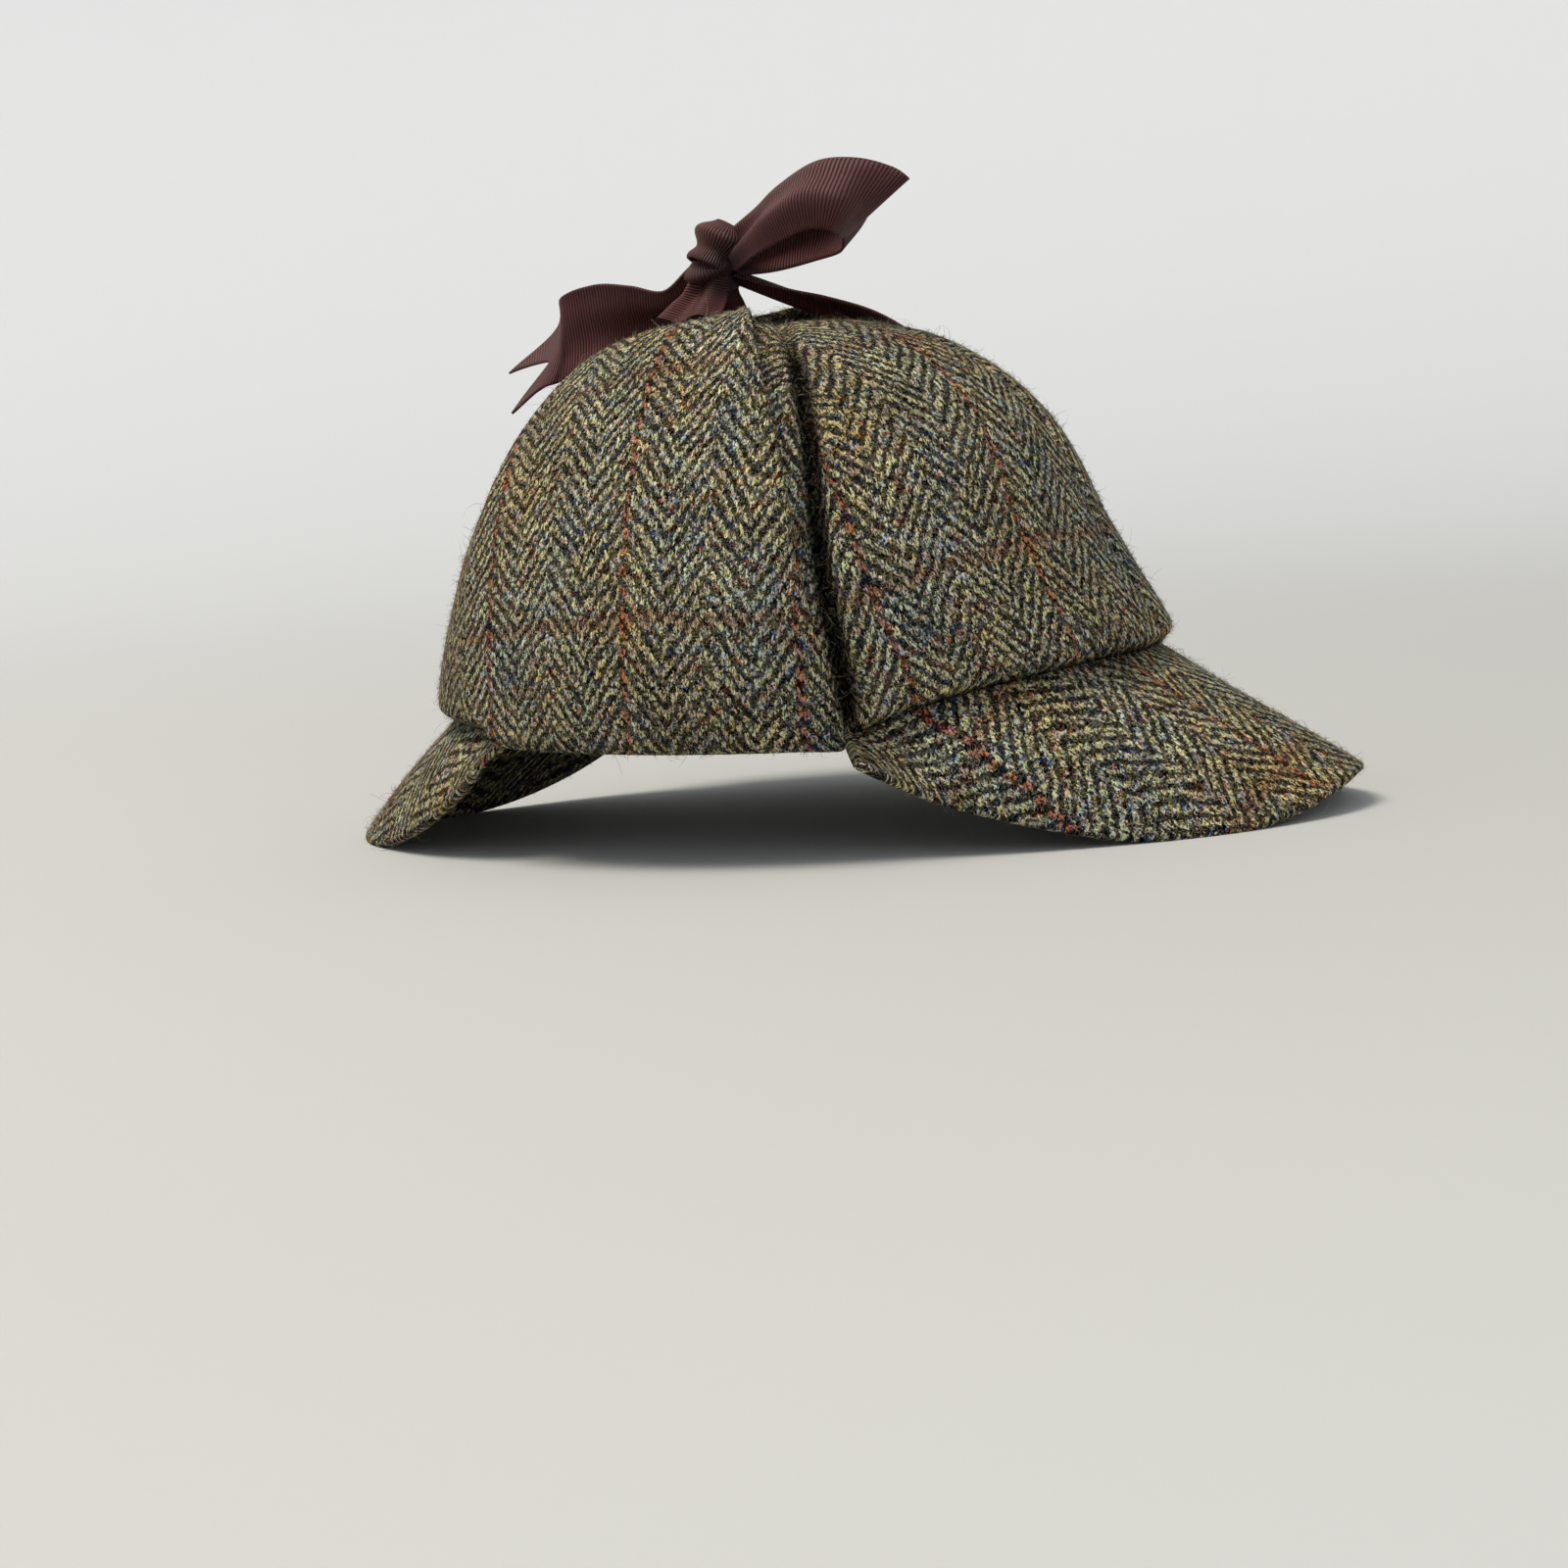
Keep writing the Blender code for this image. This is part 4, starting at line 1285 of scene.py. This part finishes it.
class HAT_OT_stage(bpy.types.Operator):
    """Make the backdrop, the lights and the camera"""
    bl_idname = "hat.stage"
    bl_label = "Stage"

    def execute(self, context):
        look = context.scene.stage_look
        scene = context.scene
        scene.view_settings.view_transform = 'Standard'
        make_backdrop()
        toward = Vector((math.sin(look.azimuth) * math.cos(look.elevation),
                         -math.cos(look.azimuth) * math.cos(look.elevation),
                         math.sin(look.elevation)))
        camera = bpy.data.cameras.new("camera")
        camera.sensor_width = 36.0
        camera.lens = camera.sensor_width * look.distance / look.picture_width
        camera_object = bpy.data.objects.new("camera", camera)
        turned = (-toward).to_track_quat('-Z', 'Y').to_matrix() @ Matrix.Rotation(look.roll, 3, 'Z')
        place = Matrix.Translation(CAMERA_AIM + toward * look.distance)
        camera_object.matrix_world = place @ turned.to_4x4()
        scene.collection.objects.link(camera_object)
        scene.camera = camera_object
        softbox("key", KEY_PLACE, KEY_SIZE, look.key_power, (1.0, 0.92, 0.79))
        softbox("fill", FILL_PLACE, FILL_SIZE, look.fill_power, (0.88, 0.94, 1.0))
        world = scene.world or bpy.data.worlds.new("world")
        scene.world = world
        world.use_nodes = True
        background = world.node_tree.nodes["Background"]
        background.inputs["Color"].default_value = rgb(0.93, 0.97, 1.0)
        background.inputs["Strength"].default_value = ROOM_LIGHT
        return {'FINISHED'}


def make_backdrop():
    """A pale round floor that curves up into a wall on all sides, darker near its middle and paler
    further out, and lit with painted light that it gives off more the further out it lies.
    """
    floor_radius, bend_radius, wall_height, bend_steps = 1.0, 1.2, 2.2, 12
    profile = [(0.0, 0.0), (0.3, 0.0), (0.6, 0.0), (floor_radius, 0.0)]
    for step in range(1, bend_steps + 1):
        bend = math.radians(90.0 * step / bend_steps)
        profile.append((floor_radius + bend_radius * math.sin(bend),
                        bend_radius * (1 - math.cos(bend))))
    profile.append((floor_radius + bend_radius, wall_height))
    form = bmesh.new()
    verts = [form.verts.new((x, 0.0, z)) for x, z in profile]
    edges = [form.edges.new(pair) for pair in zip(verts, verts[1:])]
    bmesh.ops.spin(form, geom=verts + edges, cent=(0, 0, 0), axis=(0, 0, 1), dvec=(0, 0, 0),
                   angle=2 * math.pi, steps=96, use_merge=True, use_duplicate=False)
    bmesh.ops.remove_doubles(form, verts=form.verts, dist=1e-5)
    bmesh.ops.recalc_face_normals(form, faces=form.faces)
    mesh = bpy.data.meshes.new("backdrop")
    form.to_mesh(mesh)
    form.free()
    mesh.shade_smooth()
    backdrop = bpy.data.objects.new("backdrop", mesh)
    bpy.context.scene.collection.objects.link(backdrop)
    paint = Paint("backdrop", Roughness=0.9, Specular_IOR_Level=0.1, Emission_Strength=1.0)
    # painted light: the backdrop glows more the further it lies from the middle, brightening the
    # wall; its colour is darker near the middle
    away = paint.on_vectors('LENGTH', paint.object_place()).other(1)
    share = paint.fraction(away, 0.10, 2.1, interpolation_type='SMOOTHSTEP')
    colour = paint.mix(share, rgb(0.365, 0.37, 0.365), rgb(0.64, 0.64, 0.65))
    painted_backdrop_light = paint.mix(share, rgb(0.0, 0.0, 0.0), rgb(0.145, 0.15, 0.15))
    paint.join(colour, paint.shader.inputs["Base Color"])
    paint.join(painted_backdrop_light, paint.shader.inputs["Emission Color"])
    mesh.materials.append(paint.material)


def softbox(name, place, size, power, colour):
    """A square soft light aimed at the hat."""
    light = bpy.data.lights.new(name, 'AREA')
    light.size = size
    light.color = colour
    light.energy = power
    holder = bpy.data.objects.new(name, light)
    holder.location = place
    holder.rotation_euler = (LIGHT_AIM - Vector(place)).to_track_quat('-Z', 'Y').to_euler()
    bpy.context.scene.collection.objects.link(holder)


def shared_material(name):
    """The material that several pieces wear, made when it is first asked for."""
    made = bpy.data.materials.get(name + "_cloth")
    if made is None:
        scene = bpy.context.scene
        if name == "tweed":
            made = tweed_material(scene.tweed_look)
        else:
            made = grosgrain_material(scene.ribbon_look)
        made.name = name + "_cloth"
    return made


class HAT_PT_panel(bpy.types.Panel):
    """Lists the pieces of the hat and their sizes"""
    bl_label = "Deerstalker hat"
    bl_space_type = 'VIEW_3D'
    bl_region_type = 'UI'
    bl_category = "Hat"

    def draw(self, context):
        for look in ("tweed_look", "ribbon_look", "stage_look"):
            group = getattr(context.scene, look)
            for key in group.bl_rna.properties.keys():
                if key not in {"rna_type", "name"}:
                    self.layout.prop(group, key)
        for operator in OPERATORS:
            self.layout.operator(operator.bl_idname)


OPERATORS = (HAT_OT_crown, HAT_OT_peaks, HAT_OT_ear_flaps, HAT_OT_bow, HAT_OT_fuzz, HAT_OT_stage)
LOOKS = {"tweed_look": TweedLook, "ribbon_look": RibbonLook, "stage_look": StageLook}


def register():
    for kind in (*LOOKS.values(), *OPERATORS, HAT_PT_panel):
        bpy.utils.register_class(kind)
    for name, kind in LOOKS.items():
        setattr(bpy.types.Scene, name, bpy.props.PointerProperty(type=kind))


def unregister():
    for name in LOOKS:
        delattr(bpy.types.Scene, name)
    for kind in (HAT_PT_panel, *OPERATORS[::-1], *list(LOOKS.values())[::-1]):
        bpy.utils.unregister_class(kind)


def main():
    register()
    bpy.ops.hat.crown()
    bpy.ops.hat.peaks()
    bpy.ops.hat.ear_flaps()
    bpy.ops.hat.bow()
    bpy.ops.hat.fuzz()
    bpy.ops.hat.stage()


if __name__ == "__main__":
    main()
